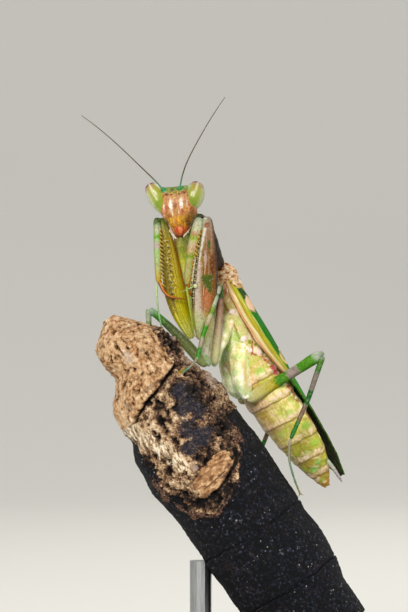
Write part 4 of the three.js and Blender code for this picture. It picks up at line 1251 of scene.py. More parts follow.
def abdomen_finish():
    """Yellow-green segments with pale hind margins, and red and pink marks along the side's edge."""
    belly = Finish("abdomen", roughness=0.5, specular=0.22, subsurface=0.08, rich=1.12, light=1.08)
    place, tailward, dorsal, beside = either_side(belly, 0.45, 1.6)
    belly.paint = belly.ramp(belly.scaled(tailward, 1 / 17, -4.0 / 17),
                             "0 b8a670, 0.14 b8aa6c, 0.22 c9bd80, 0.35 d8cc94, 0.5 ccc480, 0.62 acaa5c, "
                             "0.75 8c8c40, 0.88 807840, 0.96 a07440, 1 844c24")
    blotch = belly.noise(belly.place, 1.1, 4.0, 0.6)
    belly.fade("a3b04f", blotch, 0.5, 0.6, 0.8)
    belly.fade("dccba0", blotch, 0.46, 0.36, 0.8)
    under = belly.between(dorsal, -2.4, -3.5)
    belly.lay(belly.mix(belly.between(blotch, 0.42, 0.58), "d8b890", "b9965c"), under, 0.8)
    belly.dab(place, [
        ((11.74, -1.58, 3.5), (0.7, 0.8), "8fb058", 0.7), ((10.41, -0.65, 3.7), (0.6, 0.6), "8fb058", 0.7),
        ((13.84, -0.49, 3.47), (0.6, 0.7), "86b048", 0.8), ((13.29, -2.75, 1.7), (0.6, 0.5), "9cb45c", 0.7),
        ((15.74, -0.42, 3.15), (0.55, 0.7), "86b048", 0.8),
        ((16.63, -1.39, 2.26), (0.4, 0.6), "7aa84c", 0.8),
        ((17.93, -0.73, 2.15), (0.45, 0.5), "76b064", 0.9),
        ((18.59, -1.25, 1.23), (0.4, 0.5), "76b064", 0.8), ((20.07, -0.71, 0.89), (0.3, 0.5), "7aa84c", 0.8),
        ((17.01, -1.73, 1.56), (0.3, 0.5), "f0e6cc", 0.9),
        ((19.81, -1.23, 0.31), (0.35, 0.5), "f0e6cc", 0.9),
        ((6.35, -2.18, 3.2), (0.9, 0.8), "8fb85a", 0.85),
        ((8.3, -0.9, 3.6), (0.8, 0.7), "9cb85c", 0.7)], 0.7)
    specks = belly.noise(belly.place, 3.4, 4.0, 0.65)
    for end in SEGMENT_ENDS[1:-1]:
        margin = belly.line(tailward, end - 0.32, 0.5, 0.8)
        strength = 0.9 if end < 14 else 0.6
        belly.lay("e6c8b4", margin, strength, belly.between(specks, 0.62, 0.42))
        gap = belly.line(tailward, end + 0.12, 0.16, 0.7)
        belly.lay("84603c", gap, 0.75)
        # Darker olive at each segment's front, under the hind margin ahead of it: painted shade.
        segment_front_shade = belly.line(tailward, end + 0.55, 0.35, 0.9)
        belly.lay("a08a44", segment_front_shade, 0.5)
    streaks = belly.noise(belly.lie, 1.0, 4.0, 0.6, stretch=(0.8, 4.5, 4.5))
    belly.fade("94803c", streaks, 0.52, 0.62, 0.5)
    level = belly.scaled(tailward, -0.16, dorsal)
    edge = belly.both(belly.line(level, -1.55, 0.55, 0.4), belly.between(beside, 1.0, 1.7))
    teeth = belly.noise(belly.place, 2.4, 4.0, 0.65)
    belly.lay("b05058", edge, belly.between(teeth, 0.5, 0.62))
    belly.lay("f3dcd6", edge, belly.between(teeth, 0.48, 0.38))
    belly.dab(place, [
        ((6.4, -0.66, 3.27), (0.45, 0.4), "b05058", 0.9), ((7.03, -0.69, 3.41), (0.45, 0.35), "b05058", 0.9),
        ((7.53, -0.1, 3.1), (0.4, 0.3), "c4505a", 0.8)], 0.6)
    rise = belly.rise()
    # Darker where the belly is sunk: painted shade in its hollows.
    belly.fade("8f7040", rise, -0.01, -0.07, 0.5)
    belly.fleck("8f7440", "f0e4c4", 0.22, 3.0)
    return belly.grained(0.5, 5.0)


# Lines on the flank, as places along and above the body: (points, half width, colour).
FLANK_SEAMS = [
    ([(2.8, -1.1), (3.9, -1.8), (4.5, -2.6)], 0.16, "a04c48"),
    ([(3.0, -2.4), (3.9, -1.8), (5.0, -1.2)], 0.16, "a04c48"),
    ([(-3.5, 0.2), (-1.0, -0.6), (2.4, -0.8), (4.6, -0.3)], 0.22, "a8684c"),
    ([(-2.6, -1.5), (0.6, -1.9), (1.8, -2.2)], 0.16, "8f6030"),
    ([(0.9, -2.1), (2.4, -2.2)], 0.16, "8aa860")]


def thorax_finish():
    """Cream and pale green, with brown and pink seams and some white knots."""
    flank = Finish("flank", roughness=0.5, specular=0.22, subsurface=0.08, rich=1.22, light=0.88)
    place, tailward, dorsal = either_side(flank, 0.3, 1.6)[:3]
    flank.paint = flank.ramp(flank.scaled(tailward, 0.09, 0.56),
                             "0 d0a880, 0.1 e4c8a4, 0.22 d4b48c, 0.35 cdb884, 0.55 c4c088, 0.75 d0c898, "
                             "1 ccc08c")
    blotch = flank.noise(flank.place, 1.0, 4.0, 0.6)
    flank.fade("bcc884", blotch, 0.48, 0.68, 0.8, flank.between(tailward, -3.6, -2.4))
    flank.fade("f2e4cc", blotch, 0.48, 0.32, 0.9)
    low = flank.between(dorsal, -1.6, -2.6)
    flank.lay(flank.mix(flank.between(blotch, 0.4, 0.6), "e4ecd0", "a8c878"), low, 0.7)
    flat = flank.vector("MULTIPLY", place, (1, 1, 0))
    for line, half, code in FLANK_SEAMS:
        seam = flank.ribbon(flat, [(*spot, 0) for spot in line], half, 0.9)
        flank.lay(code, seam, 0.85)
    flank.dab(place, [
        ((-1.14, -1.37, 2.18), (0.42, 0.42), "f6e6e0", 0.95),
        ((2.06, -1.84, 2.5), (0.36, 0.5), "f6e6e0", 0.95), ((3.5, -1.9, 2.35), (0.34, 0.4), "f6e6e0", 0.95),
        ((4.2, -1.07, 2.71), (0.55, 0.42), "f6e0dc", 0.95), ((2.72, -1.4, 2.4), (0.3, 0.3), "84882c", 0.85),
        ((3.25, -0.97, 2.69), (0.3, 0.25), "84882c", 0.85), ((-4.9, 1.1, 1.2), (0.5, 0.5), "ecd8bc", 0.8),
        ((-4.3, 0.1, 1.9), (0.3, 0.3), "8f5234", 0.8)], 0.5)
    creases = flank.noise(flank.place, 1.7, 5.0, 0.6)
    shoulder = flank.between(tailward, -2.6, -3.6)
    flank.fade("8a5032", creases, 0.49, 0.6, shoulder, 0.9)
    flank.fade("fbf0e0", creases, 0.48, 0.36, shoulder, 0.8)
    rise = flank.rise()
    # Browner where the flank is sunk: painted shade in its folds.
    flank.fade("8f5c38", rise, 0.0, -0.1, 0.75)
    flank.fleck("9c6444", "fbf0e0", 0.3, 2.8)
    return flank.grained(0.6, 4.0)


def prothorax_finish():
    shield = Finish("fore_body", roughness=0.5, specular=0.3, subsurface=0.06, light=0.5)
    broad, thin, share = shield.split(shield.wobbled(shield.lie, 0.25, 1.3))
    shield.paint = shield.ramp(share, "0 5a3420, 0.3 66422a, 0.6 80603a, 0.85 848448, 1 8f9860")
    # Near-black along the shield's edges: painted shadow.
    edge = shield.between(shield.size(broad), 0.8, 0.96)
    shield.lay("331a14", edge)
    back = shield.between(thin, 0.1, 0.6)
    shield.lay("54602c", back, 0.7)
    # Darker where the shield is sunk: painted shade in its hollows.
    rise = shield.rise()
    shield.fade("44260f", rise, 0.0, -0.08, 0.6)
    shield.fleck("38240f", "a8906a", 0.4, 3.2)
    return shield.grained(0.45, 6.0)


def build_trunk():
    neck_line = centre_line("neck", middle("prothorax"), cuts=3, trim=0.1)
    shield = prothorax_finish()
    prothorax = limb("prothorax_shield", PROTHORAX_LINE, PROTHORAX_LEFT, PROTHORAX, shield,
                     sides=24, rings=24, levels=2)
    neck = limb("neck_fold", [Route(neck_line).point(-0.3), *neck_line, Route(neck_line).point(1.5)],
                PROTHORAX_LEFT, NECK, shield, sides=18, rings=12, levels=2)
    for piece in (prothorax, neck):
        raised(piece, shield_relief)
    thorax = limb("flank", [on_body(-6.1, 0.75, 0), on_body(-2.4, -0.1, 0), on_body(4.6, -1.4, 0)], LEFT,
                  THORAX, thorax_finish(), sides=36, rings=34, levels=2)
    raised(thorax, flank_relief)
    note_body_places(thorax)
    abdomen = limb("abdomen_skin", [on_body(ABDOMEN_FRONT, -1.6, 0), on_body(12.5, -1.15, 0),
                                    on_body(ABDOMEN_TIP, -0.3, 0)], LEFT,
                   ABDOMEN, abdomen_finish(), sides=32, rings=84, relief=segment_swell, levels=2)
    raised(abdomen, belly_relief)
    note_body_places(abdomen)
    settled(joined("fore_trunk", [prothorax, neck]), "forebody", "prothorax", "neck")
    settled(thorax, "thorax", "thorax")
    settled(abdomen, "abdomen", "abdomen")


def build_cerci():
    finish = shell_finish("cercus", "a8b49c", "8f8288", 0.5)
    for side in SIDES:
        line = centre_line("cercus_" + side, middle("abdomen"), cuts=4, trim=0.08)
        route = Route(line)
        points = [route.point(-0.25), *line, route.point(1.05)]
        cercus = limb("cercus_" + side + "_joints", points, DORSAL,
                      [[0, 0.2, 0.22], [0.5, 0.24, 0.3], [0.85, 0.17, 0.22], [1, 0.06, 0.07]],
                      finish, sides=12, rings=54, relief=jointed(9, 0.1))
        settled(cercus, "cercus", "cercus_" + side)


# ---- wings --------------------------------------------------------------------------------------

# [share of the length, half-width, height of the ridge over the body's centre line, fall from
# the ridge to the outer edge]
WING_STATIONS = [[0, 2.2, 1.75, 1.9], [0.06, 3.0, 1.9, 2.7], [0.17, 3.7, 2.0, 3.2], [0.3, 4.0, 2.1, 3.2],
                 [0.43, 4.2, 2.1, 2.5], [0.55, 4.2, 2.0, 1.6], [0.68, 3.95, 1.95, 1.0],
                 [0.8, 3.4, 2.0, 0.7], [0.9, 2.5, 2.1, 0.5], [0.97, 1.3, 2.15, 0.3], [1, 0.6, 2.15, 0.12]]
WING_ROOT = WING_FRONT - 0.8
WING_SKIN = 0.14                  # how thick the wing's sheet is
VEINS_ACROSS = 14


def wing_point(share, across, side, lift=0.0):
    """A point of a forewing. across runs from 0 at the middle of the back to 1 at the outer edge."""
    width, ridge, fall = at_station(WING_STATIONS, share)
    wrap = 2 * math.atan(fall / width)
    radius = width / math.sin(wrap)
    inner = 0.05 / radius
    angle = inner + across * (wrap - inner)
    reach = radius - 0.12 + lift
    tailward = WING_ROOT + share * (WING_TIP - WING_ROOT)
    return on_body(tailward, ridge - radius + reach * math.cos(angle), side * reach * math.sin(angle))


def wing_finish():
    """Leathery green with a yellow-green front band, a pinkish margin, an eyespot and fine veins."""
    wing = Finish("forewing", roughness=0.7, specular=0.12, rich=1.15)
    wobbly = wing.wobbled(wing.lie, 0.035, 1.8)
    across, share = wing.split(wobbly)[::2]
    back = wing.ramp(share, "0 1c4a14, 0.1 0c3410, 0.2 1c6c24, 0.4 16601c, 0.52 247a1c, 0.62 12440e, "
                            "0.75 081c08, 1 0c1208")
    in_band = wing.scaled(across, 1 / 0.34, -0.66 / 0.34)
    band = wing.ramp(in_band, "0 4f7a1c, 0.08 8c9c34, 0.26 a8ac50, 0.4 aaa448, 0.5 a08434, 0.58 b4a468, "
                              "0.72 ccbc8c, 0.84 c8b48c, 0.9 b8705c, 0.95 ccac8c, 1 84483a")
    front = wing.both(wing.between(across, 0.65, 0.69), wing.between(share, 0.56, 0.46))
    streaks = wing.noise(wing.lie, 1.0, 5.0, 0.6, stretch=(14, 1, 9))
    band = wing.mix(wing.both(wing.between(streaks, 0.52, 0.64), 0.55), band, "94703c")
    band = wing.mix(wing.both(wing.between(streaks, 0.46, 0.36), 0.6), band, "e8dcbc")
    wing.paint = wing.mix(front, back, band)
    late_edge = wing.both(wing.between(across, 0.86, 0.94), wing.between(share, 0.44, 0.52))
    wing.lay("123a10", late_edge, 0.85)
    green_line = wing.both(wing.line(across, 0.84, 0.14, 0.3), wing.line(share, 0.6, 0.1, 0.3))
    wing.lay("3a8f28", green_line, 0.9)
    patches = [(0.5, 0.14, 0.22, 0.045, "e2bfa4", 1), (0.55, 0.42, 0.13, 0.035, "dcc08c", 1)]
    eyespot = [(0.35, 0.41, 0.22, 0.06, "14120c", 1), (0.35, 0.41, 0.19, 0.048, "e4cf94", 1),
               (0.36, 0.405, 0.11, 0.026, "1c3a18", 1), (0.36, 0.4, 0.06, 0.014, "b9c070", 1)]
    wing.dab_front(wobbly, patches + eyespot, 0.25)
    vein = wing.put("TexVoronoi", inputs={
        "Vector": wing.vector("MULTIPLY", wing.lie, (9, 1, 34)), "Scale": 1.0}, feature="DISTANCE_TO_EDGE")
    wing.fade("84a048", vein, 0.09, 0.01, 0.12)
    turns = wing.math("MULTIPLY", across, math.pi * VEINS_ACROSS)
    long_vein = wing.size(wing.math("SINE", turns))
    wing.fade("b0ae5c", long_vein, 0.16, 0.02, 0.15)
    wing.fleck("4a3a14", "c8bc80", 0.12, 3.2)
    wing.bump(wing.between(vein, 0.14, 0.0), 0.5, 0.03)
    return wing.coloured()


def make_wing(side, finish):
    """A sheet laid over the back, given its thickness and a rolled edge."""
    turn = 1 if side == "left" else -1
    deselect()
    bpy.ops.mesh.primitive_grid_add(x_subdivisions=30, y_subdivisions=90, size=1)
    wing = named(bpy.context.object, "forewing_" + side + "_sheet")
    lies = []
    for vertex in wing.data.vertices:
        across, share = vertex.co.x + 0.5, vertex.co.y + 0.5
        lies.append((across, turn, share))
        ripple = 0.03 * math.sin(across * math.pi * 8) * math.sin(math.pi * share)
        crumple = 0.05 * noise.noise(Vector((across * 4, share * 14, turn)))
        fold = -0.05 * math.exp(-((across - 0.83) / 0.03) ** 2)
        vertex.co = wing_point(share, across, turn, ripple + crumple + fold)
    note(wing, "lie", lies)
    make_active(wing)
    if turn > 0:
        with editing():
            bpy.ops.mesh.select_all(action="SELECT")
            bpy.ops.mesh.flip_normals()
    modified(wing, "SOLIDIFY", thickness=WING_SKIN, offset=-1)
    bpy.ops.object.shade_smooth_by_angle(angle=math.radians(50))
    wing.data.materials.append(finish)
    settled(wing, "forewing", "forewing_" + side)


def build_wings():
    finish = wing_finish()
    for side in SIDES:
        make_wing(side, finish)


# ---- branch -------------------------------------------------------------------------------------

PERCH_SIDES = 56
PERCH_RINGS = 100

# Lines on the front of the branch, as (across, height) in millimetres: the crack under the bare
# wood, the lip of bark that grew round the knot, a pale splintered strip and a charred patch. For
# each height, LEFT_BARK says how far across the smooth bark reaches at the left.
CRACK = [(-2.75, 31.2), (-0.55, 32.26), (1.1, 32.73), (2.7, 33.2), (4.4, 33.95)]
BARK_LIP = [(-4.5, 25.0), (-3.9, 21.5), (-2.6, 19.2), (-1.0, 18.1), (1.0, 18.5), (2.65, 19.2), (4.0, 20.9),
            (5.2, 22.8), (5.9, 24.6)]
LEFT_BARK = [(17.0, -1.5), (19.0, -2.4), (21.0, -3.4), (24.0, -4.0), (27.0, -4.2), (30.0, -4.2), (33.0, -9.0)]
SPLINTERS = [(-3.8, 34.0), (-3.7, 31.2), (-3.2, 29.7), (-2.4, 28.4), (-1.9, 27.2), (-1.4, 26.0), (-1.0, 24.8)]
CHARRED_PATCH = [(3.6, 31.4), (2.5, 29.6), (3.8, 28.4), (1.7, 27.6), (2.9, 25.9), (0.5, 25.8)]
BARE_EDGE = 4.35                  # how far across the bare wood reaches
BARE_END = 39.9                   # above this height the wood is bare all round
KNOT = {"across": 1.3, "height": 21.95, "long": 3.0, "short": 1.3, "tilt": 0.35}
SEAMS = (14.1, 6.85)              # heights of the rings round the smooth bark
BARK_LOWEST = -1.1                # how far the surface may go in and stand out
BARK_HIGHEST = 0.34
OUTLINE_CUTS = 44                 # how many outlines of the solid the branch follows
OUTLINE_TRIM = 0.15               # how far the first and last of them are from its ends


def perch_frame():
    """The branch's foot, and for each height the middle and half-widths of its outline."""
    reach = corners("perch") @ np.array(PERCH_UP)
    foot = float(reach.min())
    length = float(np.ptp(reach))
    rows = []
    for height in np.linspace(OUTLINE_TRIM, length - OUTLINE_TRIM, OUTLINE_CUTS):
        cut = section("perch", PERCH_UP, foot + height)
        across, deep = cut @ np.array(PERCH_FLANK), cut @ np.array(FRONT)
        rows.append([height, (across.min() + across.max()) / 2, np.ptp(across) / 2,
                     (deep.min() + deep.max()) / 2, np.ptp(deep) / 2])
    return foot, length, np.array(rows)


PERCH_FOOT, PERCH_LENGTH, PERCH_ROWS = perch_frame()
PERCH_ZERO = PERCH_ROWS[0][1] - 0.9


def eased(values, low, high):
    """0 at low and 1 at high, with soft ends."""
    share = np.clip((values - low) / (high - low), 0, 1)
    return share * share * (3 - 2 * share)


def line_gap(line, across, height):
    """How far places on the branch lie from a bent line."""
    gap = np.full(len(across), 99.0)
    for (a, h), (next_a, next_h) in zip(line, line[1:]):
        run, rise = next_a - a, next_h - h
        share = np.clip(((across - a) * run + (height - h) * rise) / (run ** 2 + rise ** 2), 0, 1)
        gap = np.minimum(gap, np.hypot(across - a - share * run, height - h - share * rise))
    return gap


def noises(places, scale):
    return np.array([noise.noise(Vector(place)) for place in places * np.array(scale)])


def ridges(places, scale):
    return 1 - 2 * np.abs(noises(places, scale))


def bark_shape(across, deep, height, facing):
    """How far the surface stands out at every corner, and the numbers that its finish reads there."""
    places = np.stack([across, deep, height], axis=1)
    wander = noises(places, 0.9)
    fine = noises(places, 2.4) + 0.5 * noises(places, 5.0)
    front = eased(facing, -0.35, 0.15)
    lip_height = np.interp(across, *zip(*BARK_LIP), left=26, right=26)
    rough = front * eased(height + 0.5 * wander, lip_height, lip_height + 0.5)
    rough *= eased(across + 0.5 * wander + 0.2 * fine - np.interp(height, *zip(*LEFT_BARK)), 0, 0.35)
    bare = eased(height - np.interp(across, *zip(*CRACK)), -0.05, 0.2) * front
    bare *= eased(BARE_EDGE + 0.4 * wander - across, -0.15, 0.15)
    bare = np.maximum(bare, eased(height + 0.5 * wander, BARE_END - 0.3, BARE_END + 0.3))
    splinters = front * eased(1.35 + 0.5 * wander - line_gap(SPLINTERS, across, height), 0, 0.9)
    charred = front * eased(1.4 + 0.9 * wander + 0.3 * fine - line_gap(CHARRED_PATCH, across, height), 0, 1.3)
    crack_gap = line_gap(CRACK, across + 0.25 * wander, height + 0.3 * wander)
    crack = front * np.exp(-(crack_gap / 0.14) ** 2)
    lip_gap = line_gap(BARK_LIP, across, height + 0.3 * wander)
    lip = front * np.exp(-(lip_gap / 0.38) ** 2)

    cos, sin = math.cos(KNOT["tilt"]), math.sin(KNOT["tilt"])
    run, rise = across - KNOT["across"], height - KNOT["height"]
    along, beside = (run * cos + rise * sin) / KNOT["long"], (rise * cos - run * sin) / KNOT["short"]
    radius = (np.abs(along) ** 2.6 + np.abs(beside) ** 2.6) ** (1 / 2.6)
    scar = front * eased(radius + 0.16 * wander + 0.08 * fine, 1.03, 0.9)
    scar_rim = front * np.exp(-((radius - 1.12) / 0.1) ** 2) * (0.15 + 0.85 * eased(0.3 - beside, 0, 0.8))

    out = 0.05 * fine + 0.1 * noises(places, 0.45) + 0.05 * ridges(places, (1.2, 1.2, 2.2))
    flakes = 0.3 * ridges(places, (0.8, 0.8, 0.65)) + 0.26 * ridges(places, 1.7) + 0.2 * fine - 0.16
    bent = places + 0.5 * np.stack([wander, fine, noises(places + 11.7, 1.3)], axis=1)
    hollows = 0.5 * eased(noises(bent + 7.3, (1.5, 1.5, 0.9)), 0.16, 0.4)
    out += rough * (1 - bare) * (1 - 0.7 * charred) * (1 - scar) * (flakes - hollows)
    fibres = 0.1 * ridges(places, (2.6, 2.6, 1.1)) + 0.1 * fine
    pits = 0.3 * eased(noises(bent + 3.1, (1.9, 1.9, 1.0)), 0.3, 0.5)
    out += bare * (fibres - pits)
    out += splinters * (1 - scar) * (0.16 * ridges(places, (2.2, 2.2, 0.45)) + 0.12)
    out += 0.42 * lip * (1 - scar) - 0.85 * crack
    grooves = ridges(np.stack([along, beside * 0, beside * 5], axis=1), 1.0)
    out += scar * (0.05 * grooves - 0.12) - 0.3 * scar_rim
    for seam in SEAMS:
        gap = height - seam - 0.35 * noises(places * np.array((1, 1, 0)) + seam, 0.5)
        out += 0.1 * np.exp(-((gap + 0.22) / 0.2) ** 2) - 0.34 * np.exp(-(gap / 0.11) ** 2)
    blank = np.zeros(len(out))
    return np.clip(out, BARK_LOWEST, BARK_HIGHEST), {
        "zones": (rough, bare, splinters), "marks": (charred, crack, lip), "knot": (scar, scar_rim, front),
        "rise": (out, blank, blank)}


def perch_finish():
    """Blue-black bark with pale specks, partly grains and partly painted highlights, a flaky brown patch,
    bare tan wood and a knot's scar, with painted shade in its crack and hollows and round the knot.
    """
    bark = Finish("bark", roughness=0.8, specular=0.2, rich=1.0)
    place = bark.vector("MULTIPLY", bark.lie, (1, 0, 1))
    rough, bare, splinters = bark.split(bark.noted("zones"))
    charred, crack, lip = bark.split(bark.noted("marks"))
    scar, scar_rim, front = bark.split(bark.noted("knot"))
    rise = bark.rise()
    fine = bark.noise(bark.place, 2.6, 8.0, 0.75)
    grit = bark.noise(bark.place, 4.5, 6.0, 0.75)
    broad = bark.noise(bark.place, 0.75, 5.0, 0.65)
    mottle = bark.scaled(broad, 0.5, bark.both(grit, 0.5))
    raised_fine = bark.scaled(rise, 0.22, mottle)

    def ragged(zone, strength=1.0, grain=fine):
        """A zone whose edge is broken up by the grain."""
        uneven = bark.scaled(bark.math("SUBTRACT", grain, 0.5), 2.4, zone)
        return bark.both(bark.between(uneven, 0.4, 0.55), strength)

    def patches(spots, strength=1.0, grain=fine):
        """Ragged patches, as (across, height, half width, half height)."""
        zone = None
        for across, height, wide, tall in spots:
            spot = bark.spot(place, (across, 0, height), (wide, DEEP, tall), 1.0)
            zone = spot if zone is None else bark.math("MAXIMUM", zone, spot)
        return ragged(bark.both(zone, front), strength, grain)

    # The pale grey end of this run is partly grains of the bark and partly painted highlights.
    bark.paint = bark.ramp(fine, "0 010102, 0.44 020306, 0.53 080a11, 0.59 1c1f2e, 0.64 484a5a, 0.72 908c94, "
                                 "1 c0bcb8")
    chips = bark.both(bark.between(broad, 0.54, 0.6), bark.between(grit, 0.5, 0.56))
    bark.lay("5f4a44", chips, 0.22)
    dots = bark.cells(1.5)
    dots = bark.both(bark.between(dots, 0.14, 0.08), bark.between(fine, 0.48, 0.54))
    bark.lay("c4bcb4", dots, 0.85)

    crust = bark.ramp(raised_fine, "0 030202, 0.4 0c0807, 0.46 2f2018, 0.51 6a4c38, 0.56 a88866, "
                                   "0.62 d8bc98, 0.7 f6e8d4")
    dark_crust = bark.ramp(raised_fine, "0 020202, 0.46 08070a, 0.53 1c1714, 0.58 4a3426, 0.64 86644a, "
                                        "0.72 c8ac8c")
    crust = bark.mix(patches([(4.6, 30.0, 2.8, 4.2), (5.0, 26.0, 2.4, 3.4), (3.4, 31.4, 2.2, 2.0),
                              (5.0, 36.0, 1.3, 3.2), (0.8, 19.3, 5.0, 2.3), (4.4, 22.9, 2.2, 3.4),
                              (-3.4, 21.0, 2.4, 3.6), (-4.2, 26.2, 1.4, 3.6), (2.4, 25.2, 2.4, 1.8)], 1.0,
                             broad), crust, dark_crust)
    bark.lay(crust, ragged(rough))
    bark.lay("b09c94", patches([(6.6, 30.4, 0.8, 1.9), (5.7, 33.7, 0.8, 0.7), (6.0, 36.9, 0.8, 1.1),
                                (0.1, 23.6, 0.6, 0.6)], 0.6))
    brown = bark.ramp(grit, "0.4 140c08, 0.49 4f3626, 0.56 94705a, 0.68 ccab92")
    bark.lay(brown, patches([(5.6, 23.9, 0.8, 1.9), (-4.4, 22.6, 1.0, 1.3), (-2.7, 19.2, 1.5, 0.7),
                             (4.7, 35.2, 0.5, 0.8), (4.8, 34.1, 0.45, 0.6), (4.3, 27.0, 1.0, 1.2),
                             (3.0, 32.6, 0.8, 0.6)], 0.9))
    soot = bark.ramp(fine, "0.3 08080c, 0.46 1c1c24, 0.55 383640, 0.6 5f4c3e, 0.72 b8966c")
    bark.lay(soot, ragged(bark.both(charred, 0.9), 0.95))
    fibres = bark.noise(bark.lie, 1.0, 7.0, 0.75, stretch=(3.0, 3.0, 0.9))
    pale = bark.ramp(fibres, "0.36 1c120c, 0.43 6b4e38, 0.49 b89c78, 0.55 ead8ba, 0.65 fffaf0")
    bark.lay(pale, ragged(splinters))
    grain = bark.noise(bark.lie, 1.1, 8.0, 0.75, stretch=(1.9, 1.9, 1.3))
    wood = bark.ramp(bark.scaled(rise, 0.25, grain),
                     "0.32 1a0f09, 0.4 5f4029, 0.46 9c7650, 0.53 c49c72, 0.61 dcbc96, 0.72 f2e2ca")
    orange = bark.shifted(wood, Hue=0.485, Saturation=1.2, Value=0.8)
    wood = bark.mix(bark.both(bark.between(broad, 0.5, 0.62), 0.6), wood, orange)
    wood = bark.mix(patches([(0.65, 37.6, 1.0, 1.6), (-3.2, 35.4, 0.6, 1.0)], 0.3), wood, "e4dcd4")
    wood = bark.mix(patches([(-1.5, 37.5, 0.45, 0.35), (-2.2, 33.1, 0.6, 1.3), (1.2, 33.5, 2.2, 0.5),
                             (2.4, 37.3, 0.5, 0.4), (-0.9, 40.0, 0.4, 0.4)], 0.5), wood, "33211a")
    bark.lay(wood, ragged(bare))
    bark.lay("8c7a20", patches([(4.5, 33.0, 0.9, 0.45)], 0.85))
    leftward = bark.between(bark.split(bark.lie)[0], 2.0, -1.0)
    lip_paint = bark.ramp(grit, "0.4 140c0a, 0.5 4a3026, 0.58 8a6654, 0.68 c4a08a")
    lip = bark.both(lip, bark.scaled(leftward, 0.5, 0.4))
    bark.lay(lip_paint, ragged(bark.both(lip, bark.between(broad, 0.36, 0.56)), 0.9))
    # Near-black down the crack: painted shade in it.
    bark.fade("060403", crack, 0.4, 0.8)
    lines = bark.noise(bark.lie, 1.0, 7.0, 0.7, stretch=(1.1, 1.1, 2.2))
    wound = bark.ramp(lines, "0.34 452a1c, 0.43 845c3e, 0.5 ab7f56, 0.57 cba478, 0.68 f0d8b4")
    line_mark = bark.ribbon(place, [(2.5, 0, 21.5), (1.1, 0, 21.3), (-0.5, 0, 21.1)], 0.1, 1.0)
    wound = bark.mix(line_mark, wound, "34200f")
    # Purple-brown over the right side of the knot's scar: painted shadow.
    wound = bark.mix(patches([(3.4, 21.6, 1.0, 0.6), (2.2, 21.2, 1.4, 0.3)], 0.6), wound, "5a4038")
    bark.lay(wound, ragged(scar))
    # Near-black round the knot's sunk rim, strongest on its lower side: painted shade.
    bark.lay("0a0706", ragged(scar_rim, 0.9))
    # Near-black in the deepest hollows: painted shade.
    bark.fade("040303", rise, -0.14, -0.42, 0.85)
    bark.bump(grit, 1.0, 0.25)
    return bark.coloured()


def build_perch():
    """The branch's outline comes from its solid, and its bark, cracks and knot are raised on it."""
    perch = straight_tube("branch", [[0, 1, 1], [1, 1, 1]], PERCH_SIDES, PERCH_RINGS)
    perch.data.materials.append(perch_finish())
    smoothed(perch, 2)
    x, y, share = np.array([vertex.co[:] for vertex in perch.data.vertices]).T
    height = np.clip(share, 0, 1) * PERCH_LENGTH
    centre, half, front_centre, front_half = (np.interp(height, PERCH_ROWS[:, 0], PERCH_ROWS[:, k])
                                              for k in (1, 2, 3, 4))
    size = np.maximum(np.hypot(x, y), 1e-6)
    across = centre - PERCH_ZERO + x * half
    deep = front_centre + y * front_half
    out, zones = bark_shape(across, deep, height, y / size)
    out *= ((size > 0.99) | (height > 1)) * np.minimum(1, half / 2)
    for vertex, *place in zip(perch.data.vertices, height, across + out * x, deep + out * y):
        level, sideways, forward = place
        vertex.co = PERCH_UP * (PERCH_FOOT + level) + PERCH_FLANK * (PERCH_ZERO + sideways)
        vertex.co += FRONT * forward
    note(perch, "lie", np.stack([across, deep, height], axis=1))
    for name, values in zones.items():
        note(perch, name, np.stack(values, axis=1))
    settled(perch, "bark", "perch")


# ---- stand --------------------------------------------------------------------------------------


def stand_finishes():
    wood = Finish("dark_wood", roughness=0.4, coat=0.15, specular=0.4, rich=1.0)
    grain = wood.noise(wood.place, 0.5, 6.0, 0.6, stretch=(0.12, 1.6, 1.6))
    wood.paint = wood.ramp(grain, "0.3 1c120c, 0.5 34221a, 0.62 452e20, 0.8 5c4030")
    wood.bump(grain, 0.2, 0.05)
    steel = Finish("satin_steel", roughness=0.3, metallic=1.0, rich=1.0)
    brushed = steel.noise(steel.place, 3.0, 3.0, stretch=(4, 4, 0.15))
    steel.paint = steel.ramp(brushed, "0.3 8d8f92, 0.7 b4b6b8")
    return wood.coloured(), steel.coloured()


def build_stand():
    wood, steel = stand_finishes()
    for name, finish in (("stand_base", wood), ("stand_rod_a", steel), ("stand_rod_b", steel)):
        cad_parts[name].material_slots[0].material = finish


# ---- floor, light and camera --------------------------------------------------------------------

FLOOR_SIZE = 1.6                  # in metres, as are the next two
WALL_HEIGHT = 1.4
WALL_CURVE = 0.4
CAMERA_DISTANCE = 350
VIEW_MIDDLE = Vector((-2.64, 0, 46.2))
VIEW_HEIGHT = 67.32


def select_back_edge(floor):
    """Selects the edge where the floor meets the wall."""
    for edge in floor.data.edges:
        ends = [floor.data.vertices[v].co for v in edge.vertices]
        edge.select = all(end.y > 0.4 * FLOOR_SIZE and abs(end.z) < 0.01 for end in ends)


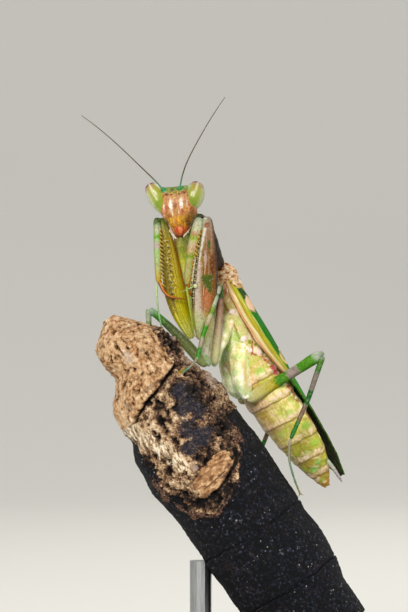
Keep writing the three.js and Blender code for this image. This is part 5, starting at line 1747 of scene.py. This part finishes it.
def build_floor():
    """A pale floor that curves up into a pale wall behind."""
    deselect()
    bpy.ops.mesh.primitive_plane_add(size=FLOOR_SIZE, location=(0, 0, 0))
    floor = named(bpy.context.object, "studio_floor")
    with editing():
        bpy.ops.mesh.select_all(action="DESELECT")
    select_back_edge(floor)
    with editing():
        bpy.ops.mesh.select_mode(type="EDGE")
        bpy.ops.mesh.extrude_region_move(TRANSFORM_OT_translate={"value": (0, 0, WALL_HEIGHT)})
    select_back_edge(floor)
    with editing():
        bpy.ops.mesh.bevel(offset=WALL_CURVE, segments=16, affect="EDGES")
    bpy.ops.object.shade_smooth()
    paper = Finish("studio_paper", roughness=0.9, specular=0.1, rich=1.0)
    paper.paint = paper.mix(paper.noise(paper.place, 0.004, 2.0), "eceae4", "f0eee9")
    floor.data.materials.append(paper.coloured())


def area_light(name, place, size, power, tone):
    """A soft light that points at the middle of the view. place is in millimetres."""
    light = bpy.data.lights.new(name, "AREA")
    light.shape, light.size, light.energy, light.color = "DISK", size, power, tone
    lamp = bpy.data.objects.new(name, light)
    bpy.context.scene.collection.objects.link(lamp)
    lamp.location = Vector(place) * MM
    lamp.rotation_euler = (VIEW_MIDDLE - Vector(place)).to_track_quat("-Z", "Y").to_euler()


def build_lights():
    area_light("key_light", (-110, -380, 250), 0.2, 2.0, (1.0, 0.98, 0.93))
    area_light("fill_light", (330, -260, 160), 0.4, 0.35, (0.95, 0.98, 1.0))
    area_light("rim_light", (160, 260, 320), 0.25, 0.5, (1.0, 1.0, 0.97))
    world = bpy.data.worlds.new("studio")
    world.use_nodes = True
    world.node_tree.nodes["Background"].inputs["Color"].default_value = tint("e4e4e2")
    world.node_tree.nodes["Background"].inputs["Strength"].default_value = 0.6
    bpy.context.scene.world = world
    bpy.context.scene.view_settings.view_transform = "Standard"


def build_camera():
    lens = bpy.data.cameras.new("camera")
    lens.sensor_fit = "VERTICAL"
    lens.sensor_height = 36
    lens.lens = lens.sensor_height * CAMERA_DISTANCE / VIEW_HEIGHT
    lens.clip_start, lens.clip_end = 0.01, 10
    camera = bpy.data.objects.new("camera", lens)
    bpy.context.scene.collection.objects.link(camera)
    camera.location = (VIEW_MIDDLE + FRONT * CAMERA_DISTANCE) * MM
    camera.rotation_euler = (math.pi / 2, 0, 0)
    bpy.context.scene.camera = camera


build_floor()
build_lights()
build_camera()
build_head()
build_forelegs()
build_walking_legs()
build_trunk()
build_cerci()
build_wings()
build_perch()
build_stand()
